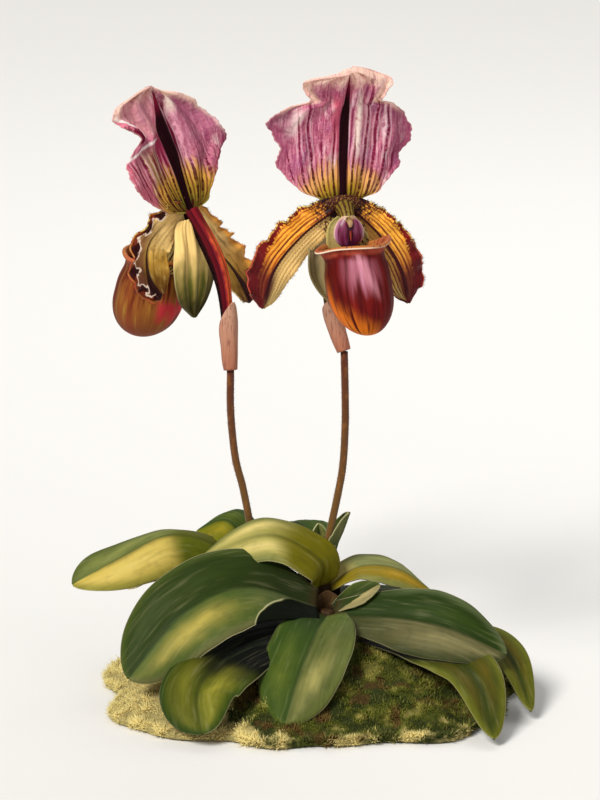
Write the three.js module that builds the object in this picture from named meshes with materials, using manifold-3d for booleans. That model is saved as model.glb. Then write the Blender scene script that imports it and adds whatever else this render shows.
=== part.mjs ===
// A slipper orchid (Cypripedium of the old gardens, now Paphiopedilum) with two blooms. Millimetres, +Z up.
// The origin lies on the flat underside of its moss mound, and the right-hand bloom faces -Y.
// Three growths stand in holes in the moss. Each carries a rosette of strap leaves, and two of them a
// flower stalk: scape, bract, ovary and then the bloom, with its sepals, petals, column and pouch.

import * as THREE from "three";
import Module from "manifold-3d";

const wasm = await Module();
wasm.setup();

// ---------------------------------------------------------------- driving dimensions

const GAP = 0.3; // running gap between two pieces that touch
const SLIVER = 0.03; // detail left by a trim that is finer than this is smoothed away

const MOSS = { halfX: 92, halfY: 73, midY: -5, height: 27, skirt: 3.2, power: 2.6, around: 38, rings: 7 };
const CROWN = { radius: 6.5, foot: 14, sides: 10, rows: 5 };
const LEAF = { thickness: 1.5, edgeShare: 0.55, rows: 10, columns: 6 };
const SCAPE = { radius: 1.7, sides: 8, rows: 11 };
const OVARY = { radius: 3.6, ribs: 6, sides: 12, rows: 9 };
const BRACT = { thickness: 0.8, rows: 9, columns: 8 };
const COLUMN = { rootRadius: 2.8, endRadius: 3.1, shieldThickness: 1.5 };
const POUCH = { halfWidth: 14.4, halfDepth: 18.5, forwardFloor: 32.5, forwardRim: 20.5, wall: 1, around: 18 };
const PETAL_THICKNESS = 0.9;

// The growths: middle of each crown on the moss, and the height of its top.
const CROWNS = {
  left: { x: -22, y: 18, top: 47 },
  right: { x: 6, y: 16, top: 48 },
  front: { x: 8, y: -5, top: 40 },
};

// Each leaf runs through its points, from its root on the crown to its tip. Inner leaves come first,
// because a later one is trimmed where it would reach into an earlier one. roll turns the blade about its
// midrib, in degrees, left margin up when positive. fold is its channel's depth, in half-widths.
const LEAVES = [
  {
    name: "young_leaf_tall", colour: "leaf", width: 13, curl: 0.1, tip: 1.6,
    roll: [0, 0], fold: [1.1, 0.9],
    points: [[9, 19, 46], [12, 20, 62], [15, 20, 70], [18, 19, 79]],
  },
  {
    name: "young_leaf_short", colour: "leaf", width: 10, curl: 0.1, tip: 1.6,
    roll: [0, 0], fold: [1.1, 0.9],
    points: [[4, 20, 46], [7, 21, 61], [5, 22, 67], [4, 22, 73]],
  },
  {
    name: "leaf_arching_top", colour: "leafOlive", width: 27, curl: 0.2, tip: 2.2,
    roll: [-62, -40, -28], fold: [0.5, -0.3],
    points: [[4, 11, 46], [4, 5, 60], [-19, 0, 73.5], [-49, -4, 64]],
  },
  {
    name: "leaf_back_upright", colour: "leaf", width: 30, curl: 0.3, tip: 2.4,
    roll: [20, -20, -30], fold: [0.3, -0.2],
    points: [[-23, 22, 46], [-31, 25, 63], [-39, 30, 71], [-52, 38, 64]],
  },
  {
    name: "leaf_far_left", colour: "leafPale", width: 29, curl: 0.15, tip: 2.6,
    roll: [-26, -32, -38], fold: [0.4, -0.7, -0.5, 0.5],
    points: [[-26, 16, 44], [-44, 13, 65], [-65, 9, 70], [-88, 4, 60], [-108, 0, 50]],
  },
  {
    name: "leaf_right_arch", colour: "leafOlive", width: 25, curl: 0.2, tip: 2.2,
    roll: [22, 12, 10], fold: [0.4, -0.2],
    points: [[9, 17, 44], [23, 20, 52], [41, 22, 50], [58, 22, 38]],
  },
  {
    name: "leaf_back_centre", colour: "leaf", width: 27, curl: 0.3, tip: 2.2,
    roll: [0, 0], fold: [0.4, 0.1],
    points: [[2, 20, 44], [-1, 34, 64], [-9, 52, 64], [-12, 78, 50]],
  },
  {
    name: "leaf_inner_right", colour: "leaf", width: 15, curl: 0.1, tip: 2,
    roll: [24, 24], fold: [0.5, 0.3],
    points: [[11, -2, 38.5], [18, -3, 43], [25, -3, 47], [32, -3, 51]],
  },
  {
    name: "leaf_front_left", colour: "leaf", width: 43, curl: 0.3, tip: 3,
    roll: [-40, -44, -40], fold: [0.35, 0.2],
    points: [[3, -8, 42], [-29, -18, 54.5], [-57, -31, 46], [-81, -44, 20]],
  },
  {
    name: "leaf_front_right", colour: "leaf", width: 35, curl: 0.25, tip: 2.2,
    roll: [34, 40, 34], fold: [0.35, 0.2],
    points: [[11, -8, 38], [38, -16, 39], [62, -24, 37], [88, -31, 27]],
  },
  {
    name: "leaf_front_centre", colour: "leaf", width: 40, curl: 0.4, tip: 2.2,
    roll: [0, 0], fold: [0.4, 0.3],
    points: [[8, -9, 38], [3, -30, 37], [-5, -52, 24], [-11, -70, 8]],
  },
  {
    name: "leaf_lower_left", colour: "leaf", width: 38, curl: 0.35, tip: 2.2,
    roll: [-14, -10], fold: [0.35, 0.3],
    points: [[3, -9, 33], [-30, -34, 30], [-49, -60, 21], [-47, -80, 7]],
  },
  {
    name: "leaf_lower_right", colour: "leafOlive", width: 28, curl: 0.2, tip: 1.8,
    roll: [16, 10], fold: [0.4, 0.35],
    points: [[13, -5, 30], [48, -18, 26], [72, -42, 22], [81, -78, 4]],
  },
  {
    name: "leaf_far_right", colour: "leafOlive", width: 20, curl: 0.2, tip: 1.8,
    roll: [12, 12], fold: [0.4, 0.35],
    points: [[11, 14, 38], [60, 4, 27], [88, -14, 23], [99, -44, 5]],
  },
  {
    name: "leaf_back_left", colour: "leafPale", width: 25, curl: 0.3, tip: 2.2,
    roll: [8, 8], fold: [0.35, 0.1],
    points: [[-25, 22, 38], [-49, 34, 47], [-68, 44, 41], [-86, 52, 33]],
  },
  {
    name: "leaf_back_right", colour: "leaf", width: 30, curl: 0.3, tip: 2.2,
    roll: [-5, -5], fold: [0.35, 0.1],
    points: [[10, 20, 39], [33, 46, 33], [54, 62, 25], [74, 76, 9]],
  },
];

// The flower stalks. A scape runs from the crown to the bract's foot, and an ovary from there to the bloom.
// The blooms differ a little in how they open, so each has its own outlines, petal routes and pouch.
// yaw is the way a bloom faces, 0 being -Y. A dorsal sepal's spine is how far back it stands at equal steps up,
// and its outlines are [share of the height, half-width], left side first.
const STALKS = {
  left: {
    scape: [
      [-22.5, 18, 47.5], [-26, 17, 66.5], [-30.5, 16.5, 91], [-34, 16, 106], [-36, 15.5, 127.5],
      [-36, 15.5, 147],
    ],
    ovary: [[-36, 15.5, 147.4], [-38, 21, 176.5], [-41, 27, 191], [-47, 33, 204], [-54.5, 38, 216]],
    bract: { share: 0.4, side: 222 },
    bloom: {
      yaw: -130,
      dorsal: {
        height: 58.5,
        nod: 9,
        lean: 7,
        spine: [0.5, -2.5, -6, -9.5],
        outlines: [
          [
            [0, 4], [0.02, 10.5], [0.083, 13.7], [0.246, 21.5], [0.332, 26], [0.44, 32], [0.52, 30],
            [0.64, 29], [0.73, 25.5], [0.81, 21], [0.876, 15], [0.94, 8], [0.977, 4], [1, 1],
          ],
          [
            [0, 4], [0.05, 15], [0.115, 21], [0.257, 31], [0.367, 35], [0.51, 32.5], [0.58, 27], [0.65, 19.5],
            [0.72, 20.5], [0.8, 24], [0.88, 26.5], [0.94, 24], [0.985, 10], [1, 1],
          ],
        ],
      },
      petals: [
        [[-3.5, -1.5, -1], [-14.5, 0, -17.5], [-25, 4, -31], [-33, 8, -47]],
        [[3.5, -1.5, 1], [14, -2, -4], [22.5, -4.5, -13], [21.5, -6, -26], [13.5, -7, -40]],
      ],
      synsepal: { halfWidth: 14, length: 49 },
      pouch: { floor: -64, rim: -22, sway: -2, ears: [0, -1.5], lift: 0.5 },
    },
  },
  right: {
    scape: [
      [6.5, 17, 49], [8.5, 16.5, 66.5], [12.5, 16, 87], [15, 15.5, 102], [16, 15.5, 120], [16, 15, 135],
      [15.5, 15, 156],
    ],
    ovary: [[15.5, 15, 156.4], [11.5, 17.5, 169], [9.5, 15.5, 184.5], [11, 8.5, 205], [14.5, -3, 226.5]],
    bract: { share: 0.34, side: 165 },
    bloom: {
      yaw: 12,
      dorsal: {
        height: 63,
        nod: 0,
        lean: 2,
        spine: [1.5, 4, 2, -7],
        outlines: [
          [
            [0, 4], [0.03, 8], [0.068, 11.5], [0.1, 17], [0.165, 22], [0.245, 27], [0.31, 29.5],
            [0.39, 27.5], [0.5, 31.5], [0.57, 34], [0.64, 30.5], [0.7, 26.5], [0.745, 16.5], [0.8, 18.5],
            [0.875, 20.5], [0.91, 19.5], [0.945, 14.5], [0.975, 8], [1, 1],
          ],
          [
            [0, 4], [0.03, 8], [0.065, 10.5], [0.1, 16.5], [0.175, 20.5], [0.23, 24], [0.3, 27.5],
            [0.363, 26.5], [0.42, 30], [0.507, 31.8], [0.59, 30], [0.66, 26.5], [0.72, 21.5], [0.75, 16],
            [0.8, 16], [0.86, 17.5], [0.925, 19], [0.965, 11.5], [0.988, 6], [1, 1],
          ],
        ],
      },
      petals: [
        [[-3.5, -1.5, 0.5], [-18.5, 0, -11], [-30.5, 4, -27], [-35, 9, -46]],
        [[3.5, -1.5, 0.5], [17, 0.5, -13], [27.5, 5, -29], [33, 10, -47]],
      ],
      synsepal: { halfWidth: 15, length: 47 },
      pouch: { floor: -50.2, rim: -12.5, sway: 3.5, ears: [-2.6, 2.7], lift: 2.2 },
    },
  },
};

const COLOURS = {
  leaf: 0x5d7a36,
  leafOlive: 0x87893a,
  leafPale: 0xa9ad62,
  crown: 0x6b4430,
  moss: 0x8c8a45,
  scape: 0x7c4f2c,
  bract: 0xa5725a,
  ovary: 0x7a2a2c,
  dorsal: 0xb0628c,
  synsepal: 0xc9b665,
  petal: 0xc98a3a,
  pouch: 0x8e2f3c,
  column: 0x7e2a5c,
};

// ---------------------------------------------------------------- solids from points

const { degToRad, lerp, clamp } = THREE.MathUtils;

/** A point given as a plain list, as a vector. */
const vector = ([x, y, z]) => new THREE.Vector3(x, y, z);

/** A smooth curve through a few points. */
const curveThrough = (points) => new THREE.CatmullRomCurve3(points.map(vector), false, "catmullrom", 0.5);

/** The value at t from 0 to 1 along a short list of evenly spaced values. */
function along(values, t) {
  const at = clamp(t, 0, 1) * (values.length - 1);
  const i = Math.min(Math.floor(at), values.length - 2);
  return lerp(values[i], values[i + 1], at - i);
}

/** Straight-line steps softened into a smooth curve, for outlines given by a few [t, value] pairs. */
function smoothTable(rows) {
  const slope = (i) => {
    const lower = rows[Math.max(i - 1, 0)];
    const upper = rows[Math.min(i + 1, rows.length - 1)];
    return (upper[1] - lower[1]) / (upper[0] - lower[0]);
  };
  return (t) => {
    const last = rows.length - 2;
    const i = clamp(rows.findIndex((row) => row[0] > t) - 1, 0, last);
    const at = t >= rows[last + 1][0] ? last : i;
    const span = rows[at + 1][0] - rows[at][0];
    const u = clamp((t - rows[at][0]) / span, 0, 1);
    const rise = rows[at + 1][1] - rows[at][1];
    const curve = u * u * (3 - 2 * u);
    const start = u * (1 - u) * (1 - u) * (slope(at) * span);
    const end = u * u * (u - 1) * (slope(at + 1) * span);
    return rows[at][1] + rise * curve + start + end;
  };
}

/** A solid from a closed mesh given as points and triangles, turned to face outwards. */
function solidOf(points, triangles) {
  const make = (index) =>
    new wasm.Manifold(
      new wasm.Mesh({
        numProp: 3,
        vertProperties: new Float32Array(points.flatMap((p) => [p.x, p.y, p.z])),
        triVerts: new Uint32Array(index),
      }),
    );
  const made = make(triangles);
  if (made.volume() > 0) return made;
  return make(triangles.slice().reverse());
}

/** A solid through rings of points, a fan at each end. Quads from flipFrom on are split the other way. */
function loft(rings, flipFrom = Infinity) {
  const count = rings[0].length;
  const points = rings.flat();
  const triangles = [];
  for (let i = 0; i < rings.length - 1; i++) {
    for (let j = 0; j < count; j++) {
      const a = i * count + j;
      const b = i * count + ((j + 1) % count);
      const c = a + count;
      const d = b + count;
      if (j < flipFrom) triangles.push(a, b, d, a, d, c);
      else triangles.push(a, b, c, b, d, c);
    }
  }
  for (const [ring, first] of [[rings[0], 0], [rings.at(-1), (rings.length - 1) * count]]) {
    const middle = ring.reduce((sum, p) => sum.add(p), new THREE.Vector3()).divideScalar(count);
    const hub = points.push(middle) - 1;
    for (let j = 0; j < count; j++) {
      const next = first + ((j + 1) % count);
      if (first === 0) triangles.push(hub, next, first + j);
      else triangles.push(hub, first + j, next);
    }
  }
  return solidOf(points, triangles);
}

/** Unit vectors across and out of a route at t, from a rough side vector and a roll in degrees. */
function frameAt(route, t, side, roll) {
  const ahead = route.getTangent(t);
  const across = side.clone().addScaledVector(ahead, -side.dot(ahead)).normalize();
  const out = ahead.clone().cross(across);
  across.applyAxisAngle(ahead, degToRad(roll));
  out.applyAxisAngle(ahead, degToRad(roll));
  return { ahead, across, out };
}

/**
 * The middle surface of a blade. section(t, s) gives the steps across and out of the route, in mm, at t from
 * 0 to 1 along it and s from -1 to 1 across it. Past either end of the route the blade goes straight on.
 */
function bladeSurface({ route, side, roll = [0, 0], section }) {
  const length = route.getLength();
  return (t, s) => {
    const on = clamp(t, 0, 1);
    const { ahead, across, out } = frameAt(route, on, side, along(roll, on));
    const [x, z] = section(on, s);
    return route
      .getPoint(on)
      .addScaledVector(ahead, (t - on) * length)
      .addScaledVector(across, x)
      .addScaledVector(out, z);
  };
}

/** The shares 0 to 1 in equal steps. */
const evenly = (steps) => Array.from({ length: steps + 1 }, (_, i) => i / steps);

/** A thin solid blade about its middle surface, thickened by grow all round. */
function bladeSolid(blade, grow = 0) {
  const surface = bladeSurface(blade);
  const length = blade.route.getLength();
  const { stations, columns, reach, thickness } = blade;
  const rows = stations.length - 1;
  const STEP = 0.01;
  const rings = [];
  for (let i = 0; i <= rows; i++) {
    const end = i === 0 ? -grow / length : i === rows ? grow / length : 0;
    const t = stations[i] + end;
    const edge = 1 + grow / reach(clamp(t, 0, 1));
    const top = [];
    const under = [];
    for (let j = 0; j <= columns; j++) {
      const s = edge * (-1 + (2 * j) / columns);
      const alongIt = surface(t + STEP, s).sub(surface(t - STEP, s));
      const acrossIt = surface(t, s + STEP).sub(surface(t, s - STEP));
      const normal = alongIt.cross(acrossIt).normalize();
      const half = thickness(clamp(s, -1, 1)) / 2 + grow;
      top.push(surface(t, s).addScaledVector(normal, half));
      under.unshift(surface(t, s).addScaledVector(normal, -half));
    }
    rings.push([...top, ...under]);
  }
  return loft(rings, columns + 1);
}

/** A round or ribbed rod along a route, its radius given by t and the angle round it. */
function rodSolid({ route, side, radius, rows, sides }, grow = 0) {
  const rings = [];
  for (let i = 0; i <= rows; i++) {
    const t = i / rows;
    const { ahead, across, out } = frameAt(route, t, side, 0);
    const end = i === 0 ? -grow : i === rows ? grow : 0;
    const middle = route.getPoint(t).addScaledVector(ahead, end);
    const ring = Array.from({ length: sides }, (_, j) => {
      const angle = (2 * Math.PI * j) / sides;
      const r = radius(t, angle) + grow;
      const point = middle.clone().addScaledVector(across, r * Math.cos(angle));
      return point.addScaledVector(out, r * Math.sin(angle));
    });
    rings.push(ring);
  }
  return loft(rings);
}

// ---------------------------------------------------------------- leaves and crowns

/** Half-width of a strap leaf at t: narrow at the crown, widest past the middle, round at the tip. */
function leafHalfWidth(width, tipPower) {
  const ROOT_SHARE = 0.42;
  const WIDEST = 0.52;
  const LEAST = 0.7;
  const TIP_ROUNDING = 0.6;
  return (t) => {
    const opening = lerp(ROOT_SHARE, 1, Math.sin((Math.min(t / WIDEST, 1) * Math.PI) / 2));
    const past = Math.max(0, (t - WIDEST) / (1 - WIDEST));
    const closing = (1 - past ** tipPower) ** TIP_ROUNDING;
    return Math.max(LEAST, (width / 2) * opening * closing);
  };
}

/** The blade of one leaf: a channel along the midrib, deepest at the root, and margins that curl down. */
function leafBlade(leaf) {
  const root = vector(leaf.points[0]);
  const tip = vector(leaf.points.at(-1));
  const heading = Math.atan2(tip.y - root.y, tip.x - root.x);
  const halfWidth = leafHalfWidth(leaf.width, leaf.tip);
  const MIDRIB = 0.15; // half-width of the channel's rounded bottom
  const WAVE = { height: 0.06, turns: 1.4, rightLead: 0.35 };
  const closerToTip = (u) => u * (1.5 - 0.5 * u);
  return {
    route: curveThrough(leaf.points),
    side: new THREE.Vector3(-Math.sin(heading), Math.cos(heading), 0),
    roll: leaf.roll,
    reach: halfWidth,
    stations: evenly(LEAF.rows).map(closerToTip),
    columns: LEAF.columns,
    thickness: (s) => LEAF.thickness * lerp(1, LEAF.edgeShare, s * s),
    section: (t, s) => {
      const w = halfWidth(t);
      const channel = along(leaf.fold, t) * (Math.hypot(s, MIDRIB) - MIDRIB);
      const curl = leaf.curl * (0.3 + t) * Math.abs(s) ** 3;
      const turn = WAVE.turns * t + (s > 0 ? WAVE.rightLead : 0);
      const wave = WAVE.height * s * s * Math.sin(2 * Math.PI * turn);
      return [w * s, w * (channel - curl + wave)];
    },
  };
}

/** A growth's short stem: it swells in the middle and narrows to its top. */
function crownRod({ x, y, top }) {
  const route = new THREE.LineCurve3(new THREE.Vector3(x, y, CROWN.foot), new THREE.Vector3(x, y, top));
  return {
    route,
    side: new THREE.Vector3(1, 0, 0),
    radius: (t) => CROWN.radius * (0.78 + 0.3 * Math.sin(Math.PI * Math.min(t * 1.1, 1)) - 0.3 * t * t),
    rows: CROWN.rows,
    sides: CROWN.sides,
  };
}

// ---------------------------------------------------------------- moss

/** Height of the moss at a share of the way from middle to rim: a dome with low cushions on it. */
function mossHeight(share, x, y) {
  const DOME_POWER = 1.35;
  const CUSHION = 1.1;
  const dome = MOSS.skirt + MOSS.height * Math.max(0, 1 - share * share) ** DOME_POWER;
  const cushions = Math.sin(x / 6.1 + 1.3) * Math.cos(y / 5.3) + 0.7 * Math.sin(x / 3.9 - y / 4.4);
  return dome + CUSHION * cushions * Math.min(1, 3 * (1 - share));
}

/** Distance from the mound's middle to its rim: a squarish oval with shallow lobes. */
function mossRimAt(angle) {
  const { halfX, halfY, power } = MOSS;
  const c = Math.abs(Math.cos(angle)) / halfX;
  const s = Math.abs(Math.sin(angle)) / halfY;
  const lobes = 1 + 0.035 * Math.sin(7 * angle + 0.8) + 0.025 * Math.sin(13 * angle);
  return lobes / (c ** power + s ** power) ** (1 / power);
}

/** The moss over the root ball: a flat underside, a thin skirt and a cushioned dome. */
function mossSolid() {
  const { around, rings: steps, midY, skirt } = MOSS;
  const ringAt = (share, heightAt) =>
    Array.from({ length: around }, (_, j) => {
      const angle = (2 * Math.PI * j) / around;
      const r = mossRimAt(angle) * share;
      const [x, y] = [r * Math.cos(angle), r * Math.sin(angle)];
      return new THREE.Vector3(x, y + midY, heightAt(x, y));
    });
  const UNDERSIDE = 0.975;
  const rings = [ringAt(UNDERSIDE, () => 0), ringAt(1, () => skirt / 2)];
  for (let i = 0; i < steps; i++) {
    const share = 1 - (i + 0.4) / steps;
    rings.push(ringAt(share, (x, y) => mossHeight(share, x, y)));
  }
  return loft(rings);
}

// ---------------------------------------------------------------- bloom, in its own frame: front -Y, up +Z

// half-width of a petal by its share of the way along
const PETAL_OUTLINE = smoothTable([
  [0, 5], [0.08, 6.8], [0.16, 8], [0.35, 9.6], [0.6, 10.2], [0.8, 9], [0.93, 5.6], [1, 1],
]);

/** The thickness of a petal or sepal across its width: a little less at the margins. */
const flat = (thickness) => (s) => thickness * lerp(1, 0.75, s * s);

/** The broad hooded sepal at the top, pleated lengthwise, with waved margins that turn back near its tip. */
function dorsalBlade({ height, nod, lean, spine, outlines }) {
  const [leftWidth, rightWidth] = outlines.map(smoothTable);
  const turn = new THREE.Euler(degToRad(nod), degToRad(lean), 0, "YXZ");
  const turned = (point) => vector(point).applyEuler(turn).toArray();
  const points = spine.map((y, i) => [0, y, (height * i) / (spine.length - 1)]);
  const CUP = smoothTable([[0, 0.12], [0.3, 0.16], [0.6, 0.14], [0.85, 0.02], [1, -0.06]]);
  const halfWidth = (t, s) => (s < 0 ? leftWidth(t) : rightWidth(t));
  return {
    route: curveThrough(points.map(turned)),
    side: new THREE.Vector3(...turned([1, 0, 0])),
    reach: (t) => Math.min(leftWidth(t), rightWidth(t)),
    stations: [
      0, 0.03, 0.068, 0.1, 0.17, 0.24, 0.31, 0.365, 0.43, 0.51, 0.58, 0.65, 0.7, 0.745, 0.8, 0.87, 0.925,
      0.965, 1,
    ],
    columns: 14,
    thickness: flat(PETAL_THICKNESS),
    section: (t, s) => {
      const w = halfWidth(t, s);
      const cup = w * CUP(t) * s * s;
      const pleats = 1.5 * Math.min(1, 2.5 * t) * Math.cos(2 * Math.PI * 2.25 * s) * (1 - 0.4 * s * s);
      const keel = -2 * Math.exp(-((s / 0.1) ** 2)) * (1 - t);
      const wave = 3 * Math.abs(s) ** 4 * Math.sin(2 * Math.PI * (3.1 * t + (s > 0 ? 0.2 : 0.65))) * t;
      return [w * s, cup + pleats + keel + wave];
    },
  };
}

/** A drooping side petal: it sweeps down, out and a little back, and its upper margin is frilled. */
function petalBlade(points, toSide) {
  const FRILLS = 5.5;
  return {
    route: curveThrough(points),
    side: new THREE.Vector3(0.7 * toSide, 0, 0.7),
    roll: [0, 12 * toSide],
    reach: PETAL_OUTLINE,
    stations: evenly(20),
    columns: 6,
    thickness: flat(PETAL_THICKNESS),
    section: (t, s) => {
      const w = PETAL_OUTLINE(t);
      const upper = Math.max(0, s) ** 3;
      const lower = Math.max(0, -s) ** 3;
      const grown = Math.min(1, 4 * t);
      const frill = 2.3 * grown * upper * Math.sin(2 * Math.PI * FRILLS * t);
      const lap = 1.2 * grown * lower * Math.sin(2 * Math.PI * (2.5 * t + 0.2));
      const keel = -0.9 * Math.exp(-((s / 0.16) ** 2));
      return [w * s, -toSide * (0.16 * w * s * s + frill + lap + keel)];
    },
  };
}

/** The two lower sepals grown into one, which hangs behind the pouch. */
function synsepalBlade({ halfWidth, length }) {
  const outline = smoothTable([
    [0, 0.6], [0.08, 0.8], [0.2, 0.93], [0.45, 1], [0.65, 0.95], [0.85, 0.6], [1, 0.06],
  ]);
  return {
    route: curveThrough([[0, 2.2, -3], [0, 6, -0.35 * length], [0, 5.5, -0.7 * length], [0, 2, -length]]),
    side: new THREE.Vector3(1, 0, 0),
    reach: (t) => halfWidth * outline(t),
    stations: evenly(9),
    columns: 8,
    thickness: flat(PETAL_THICKNESS),
    section: (t, s) => {
      const w = halfWidth * outline(t);
      const ribs = 0.7 * Math.cos(2 * Math.PI * 2 * s) * Math.min(1, 3 * t);
      return [w * s, 0.2 * w * s * s + ribs];
    },
  };
}

/**
 * The outside of the pouch at a share h of its height and an angle: 0 at its right, -90 degrees in front.
 * Its floor hangs to one side of its mouth by sway. The mouth's front edge is raised by lift, and its left
 * and right ears by their own heights.
 */
function pouchPoint({ floor, rim, sway, ears, lift }, h, angle) {
  const { halfWidth, halfDepth, forwardFloor, forwardRim } = POUCH;
  const side = Math.abs(Math.cos(angle));
  const front = Math.max(0, -Math.sin(angle));
  const round = Math.sqrt(Math.max(0, 1 - (1 - Math.min(h / 0.48, 1)) ** 2));
  const waist = 1 - 0.1 * Math.exp(-(((h - 0.86) / 0.12) ** 2));
  const narrowing = lerp(1, 0.8, h * h);
  const ear = side ** 6 * Math.max(0, (h - 0.86) / 0.14) ** 2;
  const lip = 0.8 * front * Math.max(0, (h - 0.92) / 0.08) ** 2;
  const earHeight = ears[Math.cos(angle) > 0 ? 1 : 0] * side ** 6;
  const top = rim + earHeight + lift * front ** 2 - 3 * Math.max(0, Math.sin(angle));
  return new THREE.Vector3(
    (halfWidth * round * waist + 1.6 * ear) * Math.cos(angle) + sway * (1 - h),
    (halfDepth * round * waist * narrowing + lip) * Math.sin(angle) - lerp(forwardFloor, forwardRim, h),
    lerp(floor, top, h),
  );
}

/** The pouch is an open slipper with a thin wall, held to the bloom's middle by a claw at its back. */
function pouchSolid(shape, grow = 0) {
  const { around, wall } = POUCH;
  const OUTER = [0.004, 0.06, 0.16, 0.32, 0.52, 0.74, 0.88, 0.95, 1];
  const STEP = 0.004;
  const angles = Array.from({ length: around }, (_, j) => (2 * Math.PI * j) / around);
  const skinned = (h, depth) =>
    angles.map((angle) => {
      const up = pouchPoint(shape, h + STEP, angle).sub(pouchPoint(shape, Math.max(h - STEP, 0), angle));
      const round = pouchPoint(shape, h, angle + STEP).sub(pouchPoint(shape, h, angle - STEP));
      const outward = round.cross(up).normalize();
      return pouchPoint(shape, h, angle).addScaledVector(outward, depth);
    });
  const rings = OUTER.map((h) => skinned(h, grow));
  for (const h of OUTER.slice(2).reverse()) rings.push(skinned(h, -wall - grow));
  const CLAW_OUTLINE = smoothTable([[0, 3], [0.35, 7.5], [0.7, 9.5], [1, 8]]);
  const back = pouchPoint(shape, 0.9, Math.PI / 2);
  const foot = [back.x, back.y - 0.4, back.z - 1];
  const bend = [0, back.y + 1.2, back.z + 6];
  const claw = {
    route: curveThrough([[0, -1.8, -3.4], [0, -3.2, -7], bend, foot]),
    side: new THREE.Vector3(1, 0, 0),
    reach: CLAW_OUTLINE,
    stations: evenly(4),
    columns: 4,
    thickness: () => wall,
    section: (t, s) => [CLAW_OUTLINE(t) * s, 0.35 * CLAW_OUTLINE(t) * s * s],
  };
  return loft(rings).add(bladeSolid(claw, grow));
}

/** The column: a stout stalk that ends in the staminode, a shield with a cleft down its middle. */
function columnSolid(grow = 0) {
  const stalk = {
    route: curveThrough([[0, -3.5, -0.2], [0, -6.5, -0.6], [0, -9.5, -2.2], [0, -12, -5]]),
    side: new THREE.Vector3(1, 0, 0),
    radius: (t) => lerp(COLUMN.rootRadius, COLUMN.endRadius, t),
    rows: 4,
    sides: 8,
  };
  const SHIELD = smoothTable([[0, 2.6], [0.2, 5.4], [0.5, 6.6], [0.8, 5.4], [1, 2]]);
  const shield = {
    route: curveThrough([[0, -12, -1.2], [0, -14.2, -6], [0, -14.8, -11], [0, -14, -15.6]]),
    side: new THREE.Vector3(1, 0, 0),
    reach: SHIELD,
    stations: evenly(7),
    columns: 6,
    thickness: () => COLUMN.shieldThickness,
    section: (t, s) => {
      const bulge = -0.34 * SHIELD(t) * s * s;
      const cleft = -1.1 * Math.exp(-((s / 0.2) ** 2)) * Math.sin(Math.PI * t);
      return [SHIELD(t) * s, bulge + cleft];
    },
  };
  return rodSolid(stalk, grow).add(bladeSolid(shield, grow));
}

// ---------------------------------------------------------------- stalks

/** The ovary: a ribbed club that is thickest past its middle, drawn in to a neck under the bloom. */
function ovaryRod(points) {
  const thickness = smoothTable([[0, 0.55], [0.25, 0.75], [0.6, 1.05], [0.88, 0.98], [1, 1.05]]);
  return {
    route: curveThrough(points),
    side: new THREE.Vector3(1, 0, 0),
    radius: (t, angle) => OVARY.radius * thickness(t) * (1 + 0.1 * Math.cos(OVARY.ribs * angle)),
    rows: OVARY.rows,
    sides: OVARY.sides,
  };
}

/** The bract: a sheath that clasps the foot of the ovary and opens to a point on one side of it. */
function bractBlade(points, { share, side }) {
  const whole = curveThrough(points);
  const route = curveThrough([0, 1 / 3, 2 / 3, 1].map((u) => whole.getPointAt(u * share).toArray()));
  const radius = smoothTable([[0, 2.8], [0.3, 3.6], [0.65, 4.3], [1, 5]]);
  const wrap = smoothTable([[0, 150], [0.35, 135], [0.65, 100], [0.88, 48], [1, 8]]);
  return {
    route,
    side: new THREE.Vector3(Math.cos(degToRad(side)), Math.sin(degToRad(side)), 0),
    reach: (t) => radius(t) * degToRad(wrap(t)),
    stations: evenly(BRACT.rows),
    columns: BRACT.columns,
    thickness: () => BRACT.thickness,
    section: (t, s) => {
      const angle = degToRad(wrap(t)) * s;
      return [radius(t) * Math.sin(angle), radius(t) * Math.cos(angle)];
    },
  };
}

// ---------------------------------------------------------------- assembly

const orchid = new THREE.Group();
orchid.name = "slipper_orchid";

/** Only the largest body of a trimmed solid is kept, without slivers: a loose scrap is dropped. */
function largestBody(solid) {
  return solid.asOriginal().setTolerance(SLIVER).decompose().sort((a, b) => b.volume() - a.volume())[0];
}

/** One named mesh of its own colour, under parent. */
function addNode(parent, name, solid, colour, roughness) {
  const { vertProperties, triVerts, numProp } = largestBody(solid).getMesh();
  const position = new Float32Array((vertProperties.length / numProp) * 3);
  for (let i = 0; i < position.length / 3; i++) {
    position.set(vertProperties.subarray(i * numProp, i * numProp + 3), i * 3);
  }
  const geometry = new THREE.BufferGeometry();
  geometry.setAttribute("position", new THREE.BufferAttribute(position, 3));
  geometry.setIndex(new THREE.BufferAttribute(triVerts, 1));
  geometry.computeVertexNormals();
  const material = new THREE.MeshStandardMaterial({ color: colour, roughness, metalness: 0 });
  const mesh = new THREE.Mesh(geometry, material);
  mesh.name = name;
  parent.add(mesh);
}

/** The group that stands a bloom's own frame at the ovary's end, turned to the way it faces. */
function bloomGroup({ ovary, bloom }) {
  const group = new THREE.Group();
  group.position.set(...ovary.at(-1));
  group.rotation.z = degToRad(bloom.yaw);
  group.updateMatrix();
  return group;
}

/** A solid without what lies in any of the clearances. */
const cut = (solid, clearances) => solid.subtract(wasm.Manifold.union(clearances));

const crownClearances = [];
const stalkClearances = [];

for (const [side, crown] of Object.entries(CROWNS)) {
  const rod = crownRod(crown);
  addNode(orchid, `crown_${side}`, rodSolid(rod), COLOURS.crown, 0.7);
  crownClearances.push(rodSolid(rod, GAP));
}

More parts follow.
